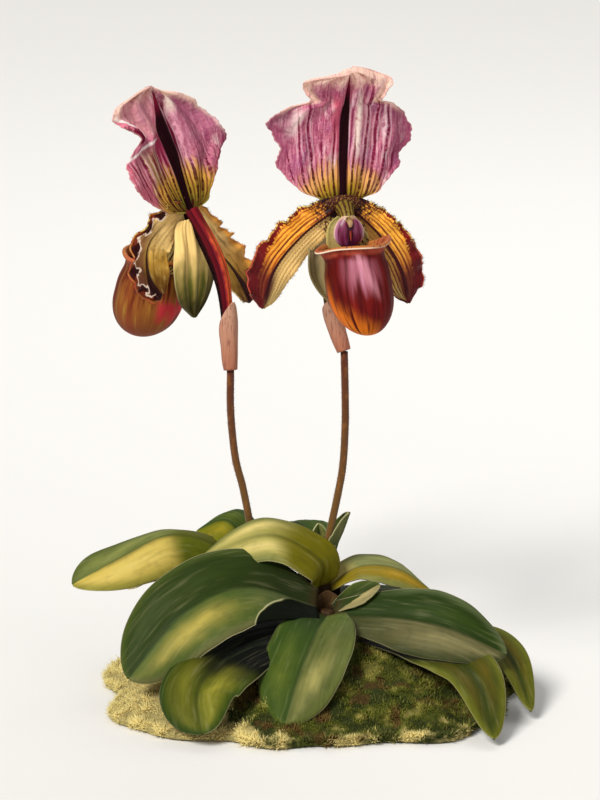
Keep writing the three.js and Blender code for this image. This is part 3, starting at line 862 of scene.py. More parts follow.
@dataclass(frozen=True)
class DorsalFinish(Finish):
    """A dorsal sepal: mauve with dark fanning veins, a golden foot, cream upper edges and a dark midrib.

    wedge is the midrib's greatest half-width and fan the reach of the golden foot, in mm. A turned sepal has
    dark and crimson flanks beside its midrib, an olive panel, and a notch whose edge is lined with white and
    whose fold is darker inside with painted shade. A folded one has painted highlights beside its midrib,
    creases darkened with painted shade, and pale side lobes.
    """

    seed: float = 0.0
    wedge: float = 1.8
    fan: float = 21.0
    turned: bool = False
    spacing: float = 5.2

    def paint(self, board: Board) -> Paint:
        """Body, lobes, cream, golden fan, veins and midrib.

        Args:
            board: the tree to paint on.

        Returns:
            The colour.
        """
        s, t, margin = board.pattern("lay")
        x, y, _ = board.pattern("span")
        reach = (x * x + y * y).power(0.5)
        fibre = board.noise(x * 1.5, y * 0.12, self.seed + 4, 3)
        patch = board.noise(x * 0.16, y * 0.07, self.seed + 5, 2)
        grain = board.noise(x * 0.9, y * 0.4, self.seed + 2, 3)
        speck = board.noise(x * 1.9, y * 0.9, self.seed + 9, 3)
        wobble = (board.noise(x * 0.08, y * 0.07, self.seed, 1) - 0.5) * t * 1.3
        spread = (y + 2) / (y + 7) * (self.spacing * 1.1)
        place = x / spread + wobble
        own = board.noise(place.whole() * 2.7, self.seed + 1, 0.0, 0.0).step(0.3, 0.7)
        gap = place.to_line() * spread
        half = own * 0.3 + 0.26 + (speck - 0.5) * 0.25 + (grain - 0.5) * 0.6 + reach.step(34, 12) * 0.14
        broken = board.noise(place.whole() * 3.1, y * 0.5, self.seed, 2).step(0.34, 0.5) * 0.45 + 0.55
        if self.turned:
            plain = (x.step(-6, -10) * 0.8).top(x.step(0, 4) * t.step(0.45, 0.6))
        else:
            plain = abs(x).step(21, 25)
        ink = gap.step(half + 0.14, half - 0.06) * (t - own * 0.45).step(0.6, 0.36) * margin.step(1, 3)
        ink = ink * broken * (1 - plain * t.step(0.32, 0.46))
        light = gap.near(half + 0.75, 0.3, 0.4) * (t - own * 0.4).step(0.5, 0.3) * t.step(0.25, 0.4)
        thread = ((place + 0.5).to_line() * spread + (grain - 0.5) * 0.4).step(0.5, 0.2) * reach.step(29, 20)
        profile = (0.985 - t).step(0.0, 0.4).power(0.6) * (t.step(0.0, 0.5) * 0.38 + 0.62) * self.wedge
        rib = (abs(x) - profile).step(0.3, -0.3) * t.step(0.985, 0.96)
        start, width = (0.9, 0.5) if self.turned else (0.84, 1.4)
        edge = (margin - t.step(0.68, 0.8) * width).step(5.0, 1.0) * t.step(0.6, 0.74)
        if self.turned:
            edge = edge * (1 - x.step(3, 6) * t.step(0.9, 0.82))
        crest = (t + (grain - 0.5) * 0.08).step(start, start + 0.11)
        cream = edge.top(crest) * grain.step(0.15, 0.5)
        body = board.layers(
            tone(0xBA687E),
            (fibre.step(0.53, 0.36), tone(0x963E62)),
            (fibre.step(0.56, 0.75) * 0.8, tone(0xDA9AAC)),
            (patch.step(0.55, 0.68) * fibre.step(0.3, 0.6) * 0.85, tone(0xE8C8C8)),
            (patch.step(0.45, 0.3) * 0.55, tone(0x8E3C74)),
            (speck.step(0.54, 0.62) * 0.3, tone(0x84305C)),
            (speck.step(0.45, 0.38) * 0.25, tone(0xE8B8C0)),
        )
        zones = self.turned_zones(x, t, margin, grain) if self.turned else self.folded_zones(x, t, grain)
        body = board.layers(body, *zones)
        gold, olive = (0xD09A44, 0x9A7C2A) if self.turned else (0xDCA060, 0xAC8628)
        colour = board.layers(
            body,
            (cream * (speck.step(0.6, 0.4) * 0.3 + 0.7), tone(0xF2CCB8)),
            ((reach + (fibre - 0.5) * 22).step(self.fan + 3, self.fan - 5), tone(gold)),
            ((reach + (fibre - 0.5) * 12).step(self.fan - 4, self.fan - 11), tone(olive)),
            (reach.step(17, 8) * abs(s).step(0.45, 0.8) * 0.8, tone(0x787024)),
            (reach.step(12, 4) * grain.step(0.2, 0.5), tone(0x686A1E)),
            (light * (1 - plain) * 0.45, tone(0xF2CCD2)),
            (ink * 0.92, board.mix(reach.step(28, 16), tone(0x6E0A32), tone(0x3E060E))),
            (thread * 0.75, tone(0x5E1418)),
            (abs(x).near(profile + 0.5, 0.2, 0.5) * t.step(0.1, 0.4) * t.step(0.97, 0.9) * 0.7, tone(0x8E1A3C)),
            (rib, board.mix(t.step(0.74, 0.9), tone(0x1C0208), tone(0x6A0C28))),
            (margin.step(0.5, 0.1) * 0.4, tone(0xD9A09A)),
            (margin.step(1.6, 0.6) * reach.step(14, 8) * 0.8, tone(0xB4A84C)),
        )
        board.relief(gap.step(0.0, 0.8) * 0.2 + fibre * 0.6, 0.12)
        return colour

    def folded_zones(self, x: Signal, t: Signal, grain: Signal) -> tuple[Layer, ...]:
        """Blush and painted highlights beside the midrib, creases darkened with painted shade, pale side lobes
        and dusky corners, one of them painted shade under the folded-over upper left lobe.

        Args:
            x: mm across.
            t: shares of the height.
            grain: fine noise.

        Returns:
            Pairs of a share and a colour.
        """
        away = abs(x)
        high = t.step(0.3, 0.42) * t.step(0.86, 0.74)
        crease = away.near(16.2, 0.25, 0.45) * t.step(0.36, 0.5) * t.step(0.8, 0.75)
        streaks = grain.step(0.3, 0.55) * 0.7 + 0.3
        lobe = t.step(0.42, 0.52) * t.step(0.72, 0.64)
        return (
            (x.near(t * 22 - 35.4, t * 9 - 3.0, 1.4) * lobe * (streaks * 0.6 + 0.4), tone(0xF6DAD6)),
            (x.near(18.8, 1.3, 1.5) * lobe * grain.step(0.3, 0.6) * 0.8, tone(0xE3C9CC)),
            (x.near(-4.2, 1.8, 1.5) * high * 0.8, tone(0xC4506A)),
            # Pale streaks beside the midrib: painted highlights.
            (x.near(5.9, 1.2, 1.3) * high * streaks, tone(0xE6D0C4)),
            (x.near(10.5, 1.2, 2.0) * high * streaks * 0.6, tone(0xE2B4BC)),
            (away.step(20, 25) * t.step(0.2, 0.4) * (grain.step(0.3, 0.7) * 0.4 + 0.55), tone(0x8C4460)),
            # A pale line beside the midrib: painted highlight.
            (x.near(2.5, 0.3, 0.3) * high, tone(0xEDC3D0)),
            # The dark line of a crease beside the midrib: painted shade.
            (x.near(3.3, 0.22, 0.25) * t.step(0.15, 0.3) * t.step(0.8, 0.65) * 0.9, tone(0x6A1238)),
            # Painted shade under the folded-over upper left lobe.
            (x.near(-14.5, 1.6, 2.0) * t.near(0.785, 0.05, 0.05) * streaks, tone(0x561638)),
            (x.near(11, 1.6, 2.6) * t.near(0.8, 0.08, 0.06) * streaks * 0.55, tone(0x8A4468)),
            # The fold's crease: painted shade.
            (crease * 0.9, tone(0x560C30)),
        )

    def turned_zones(self, x: Signal, t: Signal, margin: Signal, grain: Signal) -> tuple[Layer, ...]:
        """Flanks of the midrib, a pale streak, an olive panel with a bright edge, and the notch, darker deeper
        in its fold with painted shade.

        Args:
            x: mm across.
            t: shares of the height.
            margin: mm from the margin.
            grain: fine noise.

        Returns:
            Pairs of a share and a colour.
        """
        low = t.step(0.62, 0.45)
        fold = (0.9 - t).step(0.0, 0.2) * 5.0
        lobe = x.step(3, 6) * t.step(0.6, 0.63)
        pocket = (margin - fold).step(0.2, -0.4) * lobe * t.step(0.9, 0.86)
        return (
            (x.near(self.wedge + 2.6, 2.4, 1.2) * t.step(0.86, 0.6) * 0.9, tone(0x9A2448)),
            (x.near(-self.wedge - 1.6, 1.5, 0.9) * t.step(0.8, 0.6) * 0.9, tone(0x4A0A20)),
            (
                x.near(-self.wedge - 5.2, 1.6, 1.6) * t.step(0.25, 0.4) * grain.step(0.3, 0.6) * 0.85,
                tone(0xE8A6B8),
            ),
            (
                x.near(-self.wedge - 5, 2.8, 2.0) * t.step(0.72, 0.84) * (grain.step(0.35, 0.5) * 0.6 + 0.4),
                tone(0xF0DACC),
            ),
            (x.step(-8, -12) * t.step(0.42, 0.58) * 0.55, tone(0xA8627E)),
            (x.step(0, 4) * t.step(0.62, 0.68) * (grain.step(0.3, 0.7) * 0.4 + 0.35), tone(0xDC9EA0)),
            (margin.step(3.2, 0.6) * x.step(-8, -12) * t.step(0.4, 0.55) * 0.7, tone(0xE6BCB8)),
            (margin.near(1.3, 0.4, 0.4) * x.step(-7, -10) * t.near(0.3, 0.16, 0.08) * 0.8, tone(0x7E1630)),
            (x.near(14, 4.2, 2.4) * low * 0.9, tone(0x8A6E28)),
            (x.near(12, 0.6, 0.6) * low * 0.8, tone(0x9A4A34)),
            (x.near(19, 0.35, 0.5) * low * 0.9, tone(0xF2D2A0)),
            (x.step(19, 21) * low * 0.4, tone(0xD05E66)),
            (pocket, tone(0xD4788C)),
            # Darker deeper in the fold: painted shade.
            (
                pocket * (t + (grain - 0.5) * 0.25).step(0.79, 0.72) * (fold - margin).step(0.0, 1.2),
                tone(0x5E0826),
            ),
            (x.step(4, 7) * (t + x * 0.003).near(0.63, 0.01, 0.008), tone(0xF6E6E2)),
            (margin.near(fold + 0.9, 0.8, 0.3) * lobe * t.step(0.9, 0.86), tone(0xF6E6E2)),
        )


@dataclass(frozen=True)
class PetalFinish(Finish):
    """A petal's face: golden lines above the midvein, dotted rows below it, and a spiky maroon margin."""

    above: int = 0xF29A28
    below: int = 0xFFD486
    stripes: float = 0.0
    seed: float = 0.0

    def paint(self, board: Board) -> Paint:
        """Halves, lines, dots, margin, tip, foot and midvein.

        Args:
            board: the tree to paint on.

        Returns:
            The colour.
        """
        s, t, margin = board.pattern("lay")
        x, y, width = board.pattern("span")
        upper = s.step(-0.04, 0.06)
        grain = board.noise(x * 0.7, y * 0.4, self.seed, 3)
        spikes = board.noise(x * 0.5, y * 1.1, self.seed + 6, 2)
        wobble = (board.noise(x * 0.3, y * 0.16, self.seed + 4, 2) - 0.5) * 0.5
        line = (s * 6 + 0.5 + wobble).to_line() * width / 6
        beads = ((y + board.noise(s * 9, self.seed, 0.0, 0.0) * 9) * 0.62).to_line()
        dots = line.step(0.34, 0.14) * beads.step(0.28, 0.14)
        bars = line.step(0.42, 0.2) * board.noise(s * 9, y * 0.2, self.seed + 6, 1).step(0.32, 0.48)
        frill = (margin + (spikes - 0.5) * 4.5 - t.step(0.3, 0.75) * 3.6).step(1.7, 1.0) * upper
        tip = (t + s * 0.1).step(0.58, 0.8) * (s + 0.3).step(-0.2, 0.15)
        foot = y + (grain - 0.5) * 12
        vein = (abs(x + 0.2) - (t * 0.35 + 0.35)).step(0.3, -0.2) * t.step(0.97, 0.88)
        second = x.near(2.7, t * 0.25 + 0.2, 0.3) * t.step(0.12, 0.3) * t.step(0.95, 0.7)
        colour = board.layers(
            board.mix(upper, tone(self.below), tone(self.above)),
            (upper * line.step(0.35, 0.8) * 0.45, tone(0xFFC44E)),
            (upper * grain.step(0.5, 0.32) * 0.4, tone(0xB0581C)),
            (t.step(0.4, 0.8) * upper * 0.6, tone(0xC0581C)),
            (t.step(0.68, 0.98) * (1 - upper) * 0.8, tone(0xA8945C)),
            (grain.step(0.5, 0.75) * 0.35, tone(0xF2B45C)),
            (bars * upper * 0.7, tone(0x8A2414)),
            (bars * (1 - upper) * (t.step(0.3, 0.5) * self.stripes), tone(0x4A0E18)),
            (dots * (1 - upper) * 0.55, tone(0x8A321C)),
            (second * 0.9, tone(0x56101A)),
            (frill, tone(0x741210)),
            (tip * 0.9, tone(0x560E14)),
            (margin.step(0.9, 0.3) * spikes.step(0.42, 0.56) * upper * t.step(0.75, 0.5), tone(0xE9CC6C)),
            (margin.step(0.7, 0.2) * t.step(0.4, 0.65) * upper * 0.8, tone(0xC4523A)),
            (foot.step(13, 9) * spikes.step(0.6, 0.4) * 0.9, tone(0x36101C)),
            (foot.step(7, 3), tone(0x260A12)),
            (vein, tone(0x38060F)),
        )
        board.relief(line.step(0.0, 0.7) * 0.7 + dots + grain * 0.5, 0.1)
        return colour


@dataclass(frozen=True)
class PetalBackFinish(Finish):
    """A petal's back: pale ochre, browner and greener to the tip, with a maroon upper half.

    hem is 1 where a bright wavy line sets off dark pockets along the upper margin.
    """

    hem: float = 0.0
    seed: float = 0.0

    def paint(self, board: Board) -> Paint:
        """Ochre with soft ribs, painted shade in the midvein's groove and the margin.

        Args:
            board: the tree to paint on.

        Returns:
            The colour.
        """
        s, t, margin = board.pattern("lay")
        x, y, width = board.pattern("span")
        grain = board.noise(x * 0.5, y * 0.16, self.seed, 3)
        line = (s * 4 + (grain - 0.5) * 0.3).to_line() * width / 4
        ruffle = (y * 0.8 + (grain - 0.5) * 5).wave() * t.step(0.1, 0.3)
        hem = margin + ruffle * 1.7 + (1 - self.hem) * 9
        groove_shade = x.near(0.5, t.power(4) * 2.6 + 0.35, 0.4) * t.step(0.2, 0.4)
        colour = board.layers(
            tone(0xFFD88C),
            (t.step(0.3, 0.7), tone(0xE2B04A)),
            (t.step(0.5, 0.9), tone(0x8E661C)),
            (t.step(0.72, 1.0), tone(0x66360E)),
            (line.step(1.1, 0.2) * 0.3, tone(0x8C6426)),
            (grain.step(0.5, 0.75) * 0.35, tone(0xE3CA80)),
            (s.step(0.05, 0.4) * t.step(0.26, 0.48) * (self.hem * 0.4 + 0.35), tone(0x8E5238)),
            (s.step(0.05, 0.35) * t.step(0.4, 0.85) * (self.hem * 0.6), tone(0x5A2A2C)),
            (grain.step(0.5, 0.36) * t.step(0.1, 0.4) * 0.4, tone(0x4E2E10)),
            (
                (margin + (grain - 0.5) * 3).step(3.4, 1.0) * s.step(0.0, 0.3) * (1 - self.hem) * 0.9,
                tone(0xDC9A40),
            ),
            # A dark line along the midvein, widening to the tip: painted shade in its groove.
            (groove_shade * 0.95, tone(0x2A0614)),
            (hem.step(4.7, 4.2) * s.step(0.0, 0.3), tone(0xFFE6D2)),
            (hem.step(3.5, 3.2) * s.step(0.0, 0.3), tone(0x7A2E14)),
            (hem.step(3.6, 3.2) * s.step(0.0, 0.3) * ruffle.step(0.1, -0.4), tone(0x34080C)),
            (margin.step(1.0, 0.3) * s.step(0.0, 0.3) * 0.7, tone(0xC27A3A)),
        )
        board.relief(line.step(0.9, 0.0) + grain * 0.4, 0.12)
        return colour


@dataclass(frozen=True)
class SynsepalFinish(Finish):
    """The synsepal: apricot above, olive green and striped below, brown at its tip."""

    top: int = 0xFFD888
    middle: int = 0x8A7A2C
    foot: int = 0x3A3410

    def paint(self, board: Board) -> Paint:
        """A run down the blade with green stripes along it.

        Args:
            board: the tree to paint on.

        Returns:
            The colour.
        """
        s, t, margin = board.pattern("lay")
        x, y, _ = board.pattern("span")
        grain = board.noise(x * 0.5, y * 0.12, 2.0, 3)
        drop = t + (grain - 0.5) * 0.3
        line = (s * 3.5 + 0.5 + (grain - 0.5) * 0.3).to_line()
        colour = board.layers(
            tone(self.top),
            (drop.step(0.3, 0.68), tone(self.middle)),
            (line.step(0.34, 0.0) * drop.step(0.3, 0.65) * 0.7, tone(0x3C5A1C)),
            (line.step(0.2, 0.48) * drop.step(0.0, 0.3) * 0.25, tone(0xE9CE84)),
            (abs(s).step(0.5, 0.95) * drop.step(0.3, 0.6) * 0.6, tone(0x4E4420)),
            (margin.step(0.8, 0.2) * 0.4, tone(0xD8C48A)),
            (s.step(-0.1, -0.7) * drop.step(0.2, 0.55) * 0.6, tone(0x4A3C1C)),
            (drop.step(0.55, 0.92) * 0.9, tone(self.foot)),
        )
        board.relief(line + grain * 0.4, 0.2)
        return colour


@dataclass(frozen=True)
class PouchFinish(Finish):
    """The pouch: plum in front with a painted lilac highlight on it, orange at the toe, ochre-brown at the
    back.
    """

    brim: int = 0xF0DAC2
    turned: bool = False

    def paint(self, board: Board) -> Paint:
        """Front with its painted highlight, toe, back, streaks and rim.

        Args:
            board: the tree to paint on.

        Returns:
            The colour.
        """
        u, h, rolled = board.pattern("lay")
        grain = board.noise(u * 12, h * 4, 1.0, 3)
        streak = board.noise(u * 19, h * 1.5, 4.0, 3)
        away = abs(u).step(*((0.1, 0.24) if self.turned else (0.4, 0.58)))
        toe = (h + u * 0.6 + (grain - 0.5) * 0.2 + (streak - 0.5) * 0.2).step(0.32, 0.0)
        side = (u + (h - 0.5) * 0.1).step(-0.36, -0.46) * h.step(0.8, 0.4)
        # A broad painted highlight on the front, with a paler painted highlight ray in it.
        bloom = u.near(-0.03, 0.12, 0.16) * (h + (streak - 0.5) * 0.35).step(0.46, 0.74)
        bloom = bloom * (h + grain * 0.06).step(0.95, 0.86)
        highlight_ray = (u * 1.4 + (h - 0.7) * 0.45).near(0.05, 0.045, 0.08) * h.step(0.4, 0.65) * h.step(0.97, 0.9)
        back = board.layers(
            tone(0x865020),
            (h.step(0.45, 0.0), tone(0x7C3E20)),
            (u.near(0.5, 0.06, 0.1) * 0.5, tone(0x7A2418)),
            (streak.step(0.55, 0.4) * h.step(0.2, 0.6) * 0.9, tone(0x56120E)),
            (streak.step(0.54, 0.72) * h.step(0.05, 0.4) * 0.5, tone(0xA88A30)),
            (u.step(0.45, 0.2) * 0.8, tone(0x541E10)),
            (abs(u).step(0.74, 0.83) * (h + (grain - 0.5) * 0.5).near(0.41, 0.13, 0.12), tone(0xB83038)),
        )
        front = board.layers(
            tone(0x641210),
            (abs(u).step(0.2, 0.42) * h.step(0.2, 0.6) * 0.75, tone(0x460A06)),
            # The painted highlight and its paler ray.
            (bloom * 0.85, tone(0xBC7488)),
            (highlight_ray * 0.6, tone(0xE29CAA)),
            (bloom * streak.step(0.56, 0.7) * 0.4, tone(0xBE92AC)),
            (streak.step(0.53, 0.36) * (0.8 - bloom * 0.5), tone(0x42080A)),
            (streak.step(0.6, 0.75) * h.step(0.7, 0.3) * 0.6, tone(0x9C3414)),
            (toe * streak.step(0.3, 0.5) * 0.95, tone(0xDE761C)),
            (side * 0.85, tone(0xDA6C18)),
        )
        colour = board.layers(
            board.mix(away, front, back),
            (h.step(0.9, 0.955) * grain.step(0.25, 0.6) * 0.8, tone(0xAC4A34)),
            (rolled.step(0.05, 0.3), tone(0x8E3038)),
            (rolled.step(0.78, 0.9) * (u.step(0.06, 0.2) * -0.7 + 1), tone(self.brim)),
        )
        board.relief(streak * 0.6 + grain * 0.4, 0.12)
        return colour


@dataclass(frozen=True)
class InnerPouchFinish(Finish):
    """The inside of the pouch: yellow-brown with maroon spots, redder in its ears, darker low down with painted
    shade.
    """

    brim: int = 0xF0DAC2

    def paint(self, board: Board) -> Paint:
        """Ground darkened low down with painted shade, with spots and a pale rim.

        Args:
            board: the tree to paint on.

        Returns:
            The colour.
        """
        u, h, rolled = board.pattern("lay")
        spots = board.noise(u * 26, h * 14, 2.0, 1)
        return board.layers(
            tone(0xB06A34),
            # Painted shade, darker deeper inside the pouch.
            (h.step(0.85, 0.4), tone(0x240C0C)),
            (abs(abs(u) - 0.5).step(0.2, 0.08) * h.step(0.7, 0.9) * 0.8, tone(0xB05A3C)),
            (spots.step(0.55, 0.66) * 0.8, tone(0x5A1420)),
            (rolled.step(0.7, 0.85) * (u.step(0.06, 0.2) * -0.7 + 1), tone(self.brim)),
        )


@dataclass(frozen=True)
class ShieldFinish(Finish):
    """The staminode's shield: magenta with a dark heart, a light halo and a pale edge, and painted shadow at
    its foot.
    """

    def paint(self, board: Board) -> Paint:
        """Edge, halo, body, heart and painted shadow at the lower end.

        Args:
            board: the tree to paint on.

        Returns:
            The colour.
        """
        s, t, margin = board.pattern("lay")
        x, y, _ = board.pattern("span")
        grain = board.noise(x * 1.6, y * 1.2, 0.0, 3)
        rays = board.noise(s * 9, t * 2, 3.0, 2)
        colour = board.layers(
            tone(0x641A38),
            (rays.step(0.45, 0.65) * 0.6, tone(0x94446A)),
            (abs(x).step(2.2, 0.3) * t.step(0.03, 0.25) * 0.9, tone(0x2C0618)),
            # Painted shadow at the shield's lower end.
            (t.step(0.75, 0.95) * 0.8, tone(0x2A0A1C)),
            (margin.step(1.7, 1.1) * t.step(0.95, 0.7) * 0.7, tone(0xB9789A)),
            (margin.step(0.8, 0.3) * t.step(1.0, 0.8) * 0.9, tone(0xDDB9A8)),
            (t.step(0.16, 0.02) * grain.step(0.3, 0.6) * 0.9, tone(0xCDB27A)),
        )
        board.relief(grain, 0.15)
        return colour


@dataclass(frozen=True)
class PlainFinish(Finish):
    """A finish that runs between two colours along the piece, broken by noise."""

    start: int = 0xFFFFFF
    end: int = 0xFFFFFF
    fleck: int = 0x000000
    flecks: float = 0.3
    relief: float = 0.1
    fineness: float = 0.5
    stretch: float = 0.5
    stripes: float = 0.0

    def paint(self, board: Board) -> Paint:
        """The run, its flecks and any dark stripes along the piece.

        Args:
            board: the tree to paint on.

        Returns:
            The colour.
        """
        u, t, _ = board.pattern("lay")
        x, y, z = board.place()
        grain = board.noise(x * self.fineness, y * self.fineness, z * self.fineness * self.stretch, 3)
        board.relief(grain, self.relief)
        colour = board.layers(
            tone(self.start), (t, tone(self.end)), (grain.step(0.5, 0.7) * self.flecks, tone(self.fleck))
        )
        if not self.stripes:
            return colour
        row = (u * self.stripes + (grain - 0.5) * 0.4).to_line()
        return board.layers(colour, (row.step(0.3, 0.14) * 0.85, tone(0x340C12)))


@dataclass(frozen=True)
class ClawFinish(Finish):
    """The pouch's claw: pale yellow on one flank, slanting dotted rows on the other."""

    def paint(self, board: Board) -> Paint:
        """Ground, rows, the browner foot and painted shade along the margins.

        Args:
            board: the tree to paint on.

        Returns:
            The colour.
        """
        s, t, margin = board.pattern("lay")
        x, y, _ = board.pattern("span")
        grain = board.noise(x * 1.1, y * 0.9, 5.0, 2)
        row = (x * 0.42 - y * 0.3 + (grain - 0.5) * 0.3).to_line()
        return board.layers(
            tone(0xE2D084),
            (grain.step(0.5, 0.7) * 0.5, tone(0xB8A04C)),
            (t.step(0.4, 1.0) * 0.5, tone(0xC08A4A)),
            # Painted shade along the margins.
            (margin.step(2.0, 0.3) * 0.5, tone(0x7A6A2A)),
            (row.step(0.3, 0.15) * grain.step(0.35, 0.5) * s.step(-0.1, 0.25), tone(0x4A1216)),
        )


@dataclass(frozen=True)
class OvaryFinish(Finish):
    """The ovary: nearly black on its shaded side, maroon in the middle and orange-red on the lit ridge."""

    shade: int = 0x120206

    def paint(self, board: Board) -> Paint:
        """Bands round the club, furrows and foot.

        Args:
            board: the tree to paint on.

        Returns:
            The colour.
        """
        u, t, _ = board.pattern("lay")
        x, y, _ = board.pattern("span")
        furrow = (u * 3 + 0.5).to_line()
        grain = board.noise(x * 0.9, y * 0.12, 0.0, 3)
        lit = (u * math.pi + 2.2).wave() + (grain - 0.5) * 0.5
        colour = board.layers(
            tone(self.shade),
            (lit.step(-0.2, 0.3), tone(0x5A0C18)),
            (lit.step(0.35, 0.7) * 0.8, tone(0x7A1420)),
            (lit.step(0.74, 0.98) * t.step(0.05, 0.22) * t.step(0.92, 0.66) * 0.9, tone(0xDE5E32)),
            (furrow.step(0.14, 0.03) * 0.8, tone(0x1E0610)),
            (t.step(0.25, 0.0) * 0.5, tone(0x7C3A2A)),
        )
        board.relief(furrow + grain * 0.4, 0.1)
        return colour


@dataclass(frozen=True)
class MossFinish(Finish):
    """Moss: darkened with painted shade under the leaves, olive outside them, with rusty patches and a pale
    straw rim.
    """

    tuft: float = 0.0

    def paint(self, board: Board) -> Paint:
        """Ground colour by place with painted shade under the leaves, lighter at the tips of tufts.

        Args:
            board: the tree to paint on.

        Returns:
            The colour.
        """
        x, y, z = board.place()
        share, own, _ = board.pattern("lay")
        clump = board.noise(x * 0.11, y * 0.11, z * 0.11, 3)
        speck = board.noise(x * 0.5, y * 0.5, z * 0.5, 2)
        rust = board.noise(x * 0.09 + 7, y * 0.09, z * 0.1, 2)
        # An oval of about 90 by 72 mm round (2, -5).
        reach = ((x - 2) * (x - 2) / 8100 + (y + 5) * (y + 5) / 5200).power(0.5)
        rim = (reach - x * 0.003 - x.near(-8, 16, 18) * 0.16 + (clump - 0.5) * 0.8).step(0.87, 1.02)
        shade = (reach + (clump - 0.5) * 0.3).step(0.5, 0.12)
        colour = board.layers(
            tone(0x40481C),
            (clump.step(0.43, 0.53), tone(0x5E641C)),
            (clump.step(0.55, 0.65), tone(0x989044)),
            (rust.step(0.52, 0.6) * clump.step(0.6, 0.5) * 0.75, tone(0x684624)),
            (speck.step(0.55, 0.7) * 0.3, tone(0x1E2A0C)),
            (rim * 0.9, tone(0xEAD68E)),
            # Painted shade under the leaves, darkest near the middle.
            (shade * 0.4, tone(0x181F0C)),
        )
        if not self.tuft:
            board.relief(speck, 1.5)
            # The ground under the tufts is darker still: painted shade between them.
            return board.mix(0.6, colour, tone(0x10180A))
        tips = share.step(0.3, 1.0) * (1 - shade) * self.tuft
        return board.layers(
            colour,
            (own.step(0.5, 0.1) * (0.4 - rim * 0.2), tone(0x1A220A)),
            (tips * 0.3, tone(0xC4B96A)),
        )


# ------------------------------------------------------------------ leaves and crowns


@dataclass(frozen=True)
class Leaf:
    """One strap leaf, by the points on its midrib and the shape of its channel."""

    name: str
    width: float
    curl: float
    tip: float
    roll: Sequence[float]
    fold: Sequence[float]
    points: Rows
    slot: str
    # Greens of the two halves, which stand for painted light and shade.
    right: Green
    left: Green
    turn: tuple[float, float] = (0.1, 0.45)
    line: float = 0.35
    # How strongly a painted shadow darkens one half by the root.
    root_shadow: float = 0.0

    THICKNESS = 1.5
    EDGE_SHARE = 0.4
    GRID = (30, 84)

    def half_width(self, t: Array) -> Array:
        """Narrow at the crown, widest past the middle, round at the tip.

        Args:
            t: shares of the way along.

        Returns:
            Half-widths, in mm.
        """
        widest, root_share, least, rounding = 0.52, 0.42, 0.7, 0.6
        opening = root_share + (1 - root_share) * np.sin(np.minimum(t / widest, 1) * math.pi / 2)
        past = np.maximum(0, (t - widest) / (1 - widest))
        closing = np.maximum(1 - past**self.tip, 0) ** rounding
        return np.maximum(least, self.width / 2 * opening * closing)

    def section(self, t: Array, s: Array) -> tuple[Array, Array, Array]:
        """The channel along the midrib, the curled margins and their waves.

        Args:
            t: shares of the way along.
            s: shares across, from -1 to 1.

        Returns:
            Steps across and out of the route, and half-widths, in mm.
        """
        rib, fine = 0.15, 0.012
        w = self.half_width(t)
        channel = Table.even(self.fold)(t) * (np.hypot(s, rib) - rib)
        curl = self.curl * (0.3 + t) * np.abs(s) ** 3
        wave = 0.06 * s * s * np.sin(TAU * (1.4 * t + np.where(s > 0, 0.35, 0)))
        ripple = fine * np.abs(s) * np.sin(TAU * (5.3 * t + 0.4 * s + self.width))
        veins = 0.006 * np.cos(TAU * 3.5 * s) * np.minimum(1, 4 * t)
        return w * s, w * (channel - curl + wave + ripple + veins), w

    def blade(self) -> Blade:
        """The leaf's middle surface.

        Returns:
            The surface.
        """
        root, tip = self.points[0], self.points[-1]
        heading = math.atan2(tip[1] - root[1], tip[0] - root[0])
        side = (-math.sin(heading), math.cos(heading), 0)
        return Blade(Route(self.points), side, self.section, self.roll)

    def build(self, seed: float) -> None:
        """Models and dresses the leaf.

        Args:
            seed: offset of the leaf's own noise.
        """
        piece = blade_piece(
            f"{self.name}_blade",
            self.blade(),
            self.GRID,
            lambda s: self.THICKNESS * (1 + (self.EDGE_SHARE - 1) * s * s),
            front=1,
        )
        looks = {
            "right": self.right, "left": self.left, "turn": self.turn, "line": self.line, "root_shadow": self.root_shadow,
        }
        upper = LeafFinish(f"{self.name}_upper", 0.55, gloss=0.07, seed=seed, **looks)
        under = LeafFinish(f"{self.name}_under", 0.6, gloss=0.07, right=Green.GREY, left=Green.GREY, seed=seed)
        dress(piece, (upper, under), self.slot, self.name)


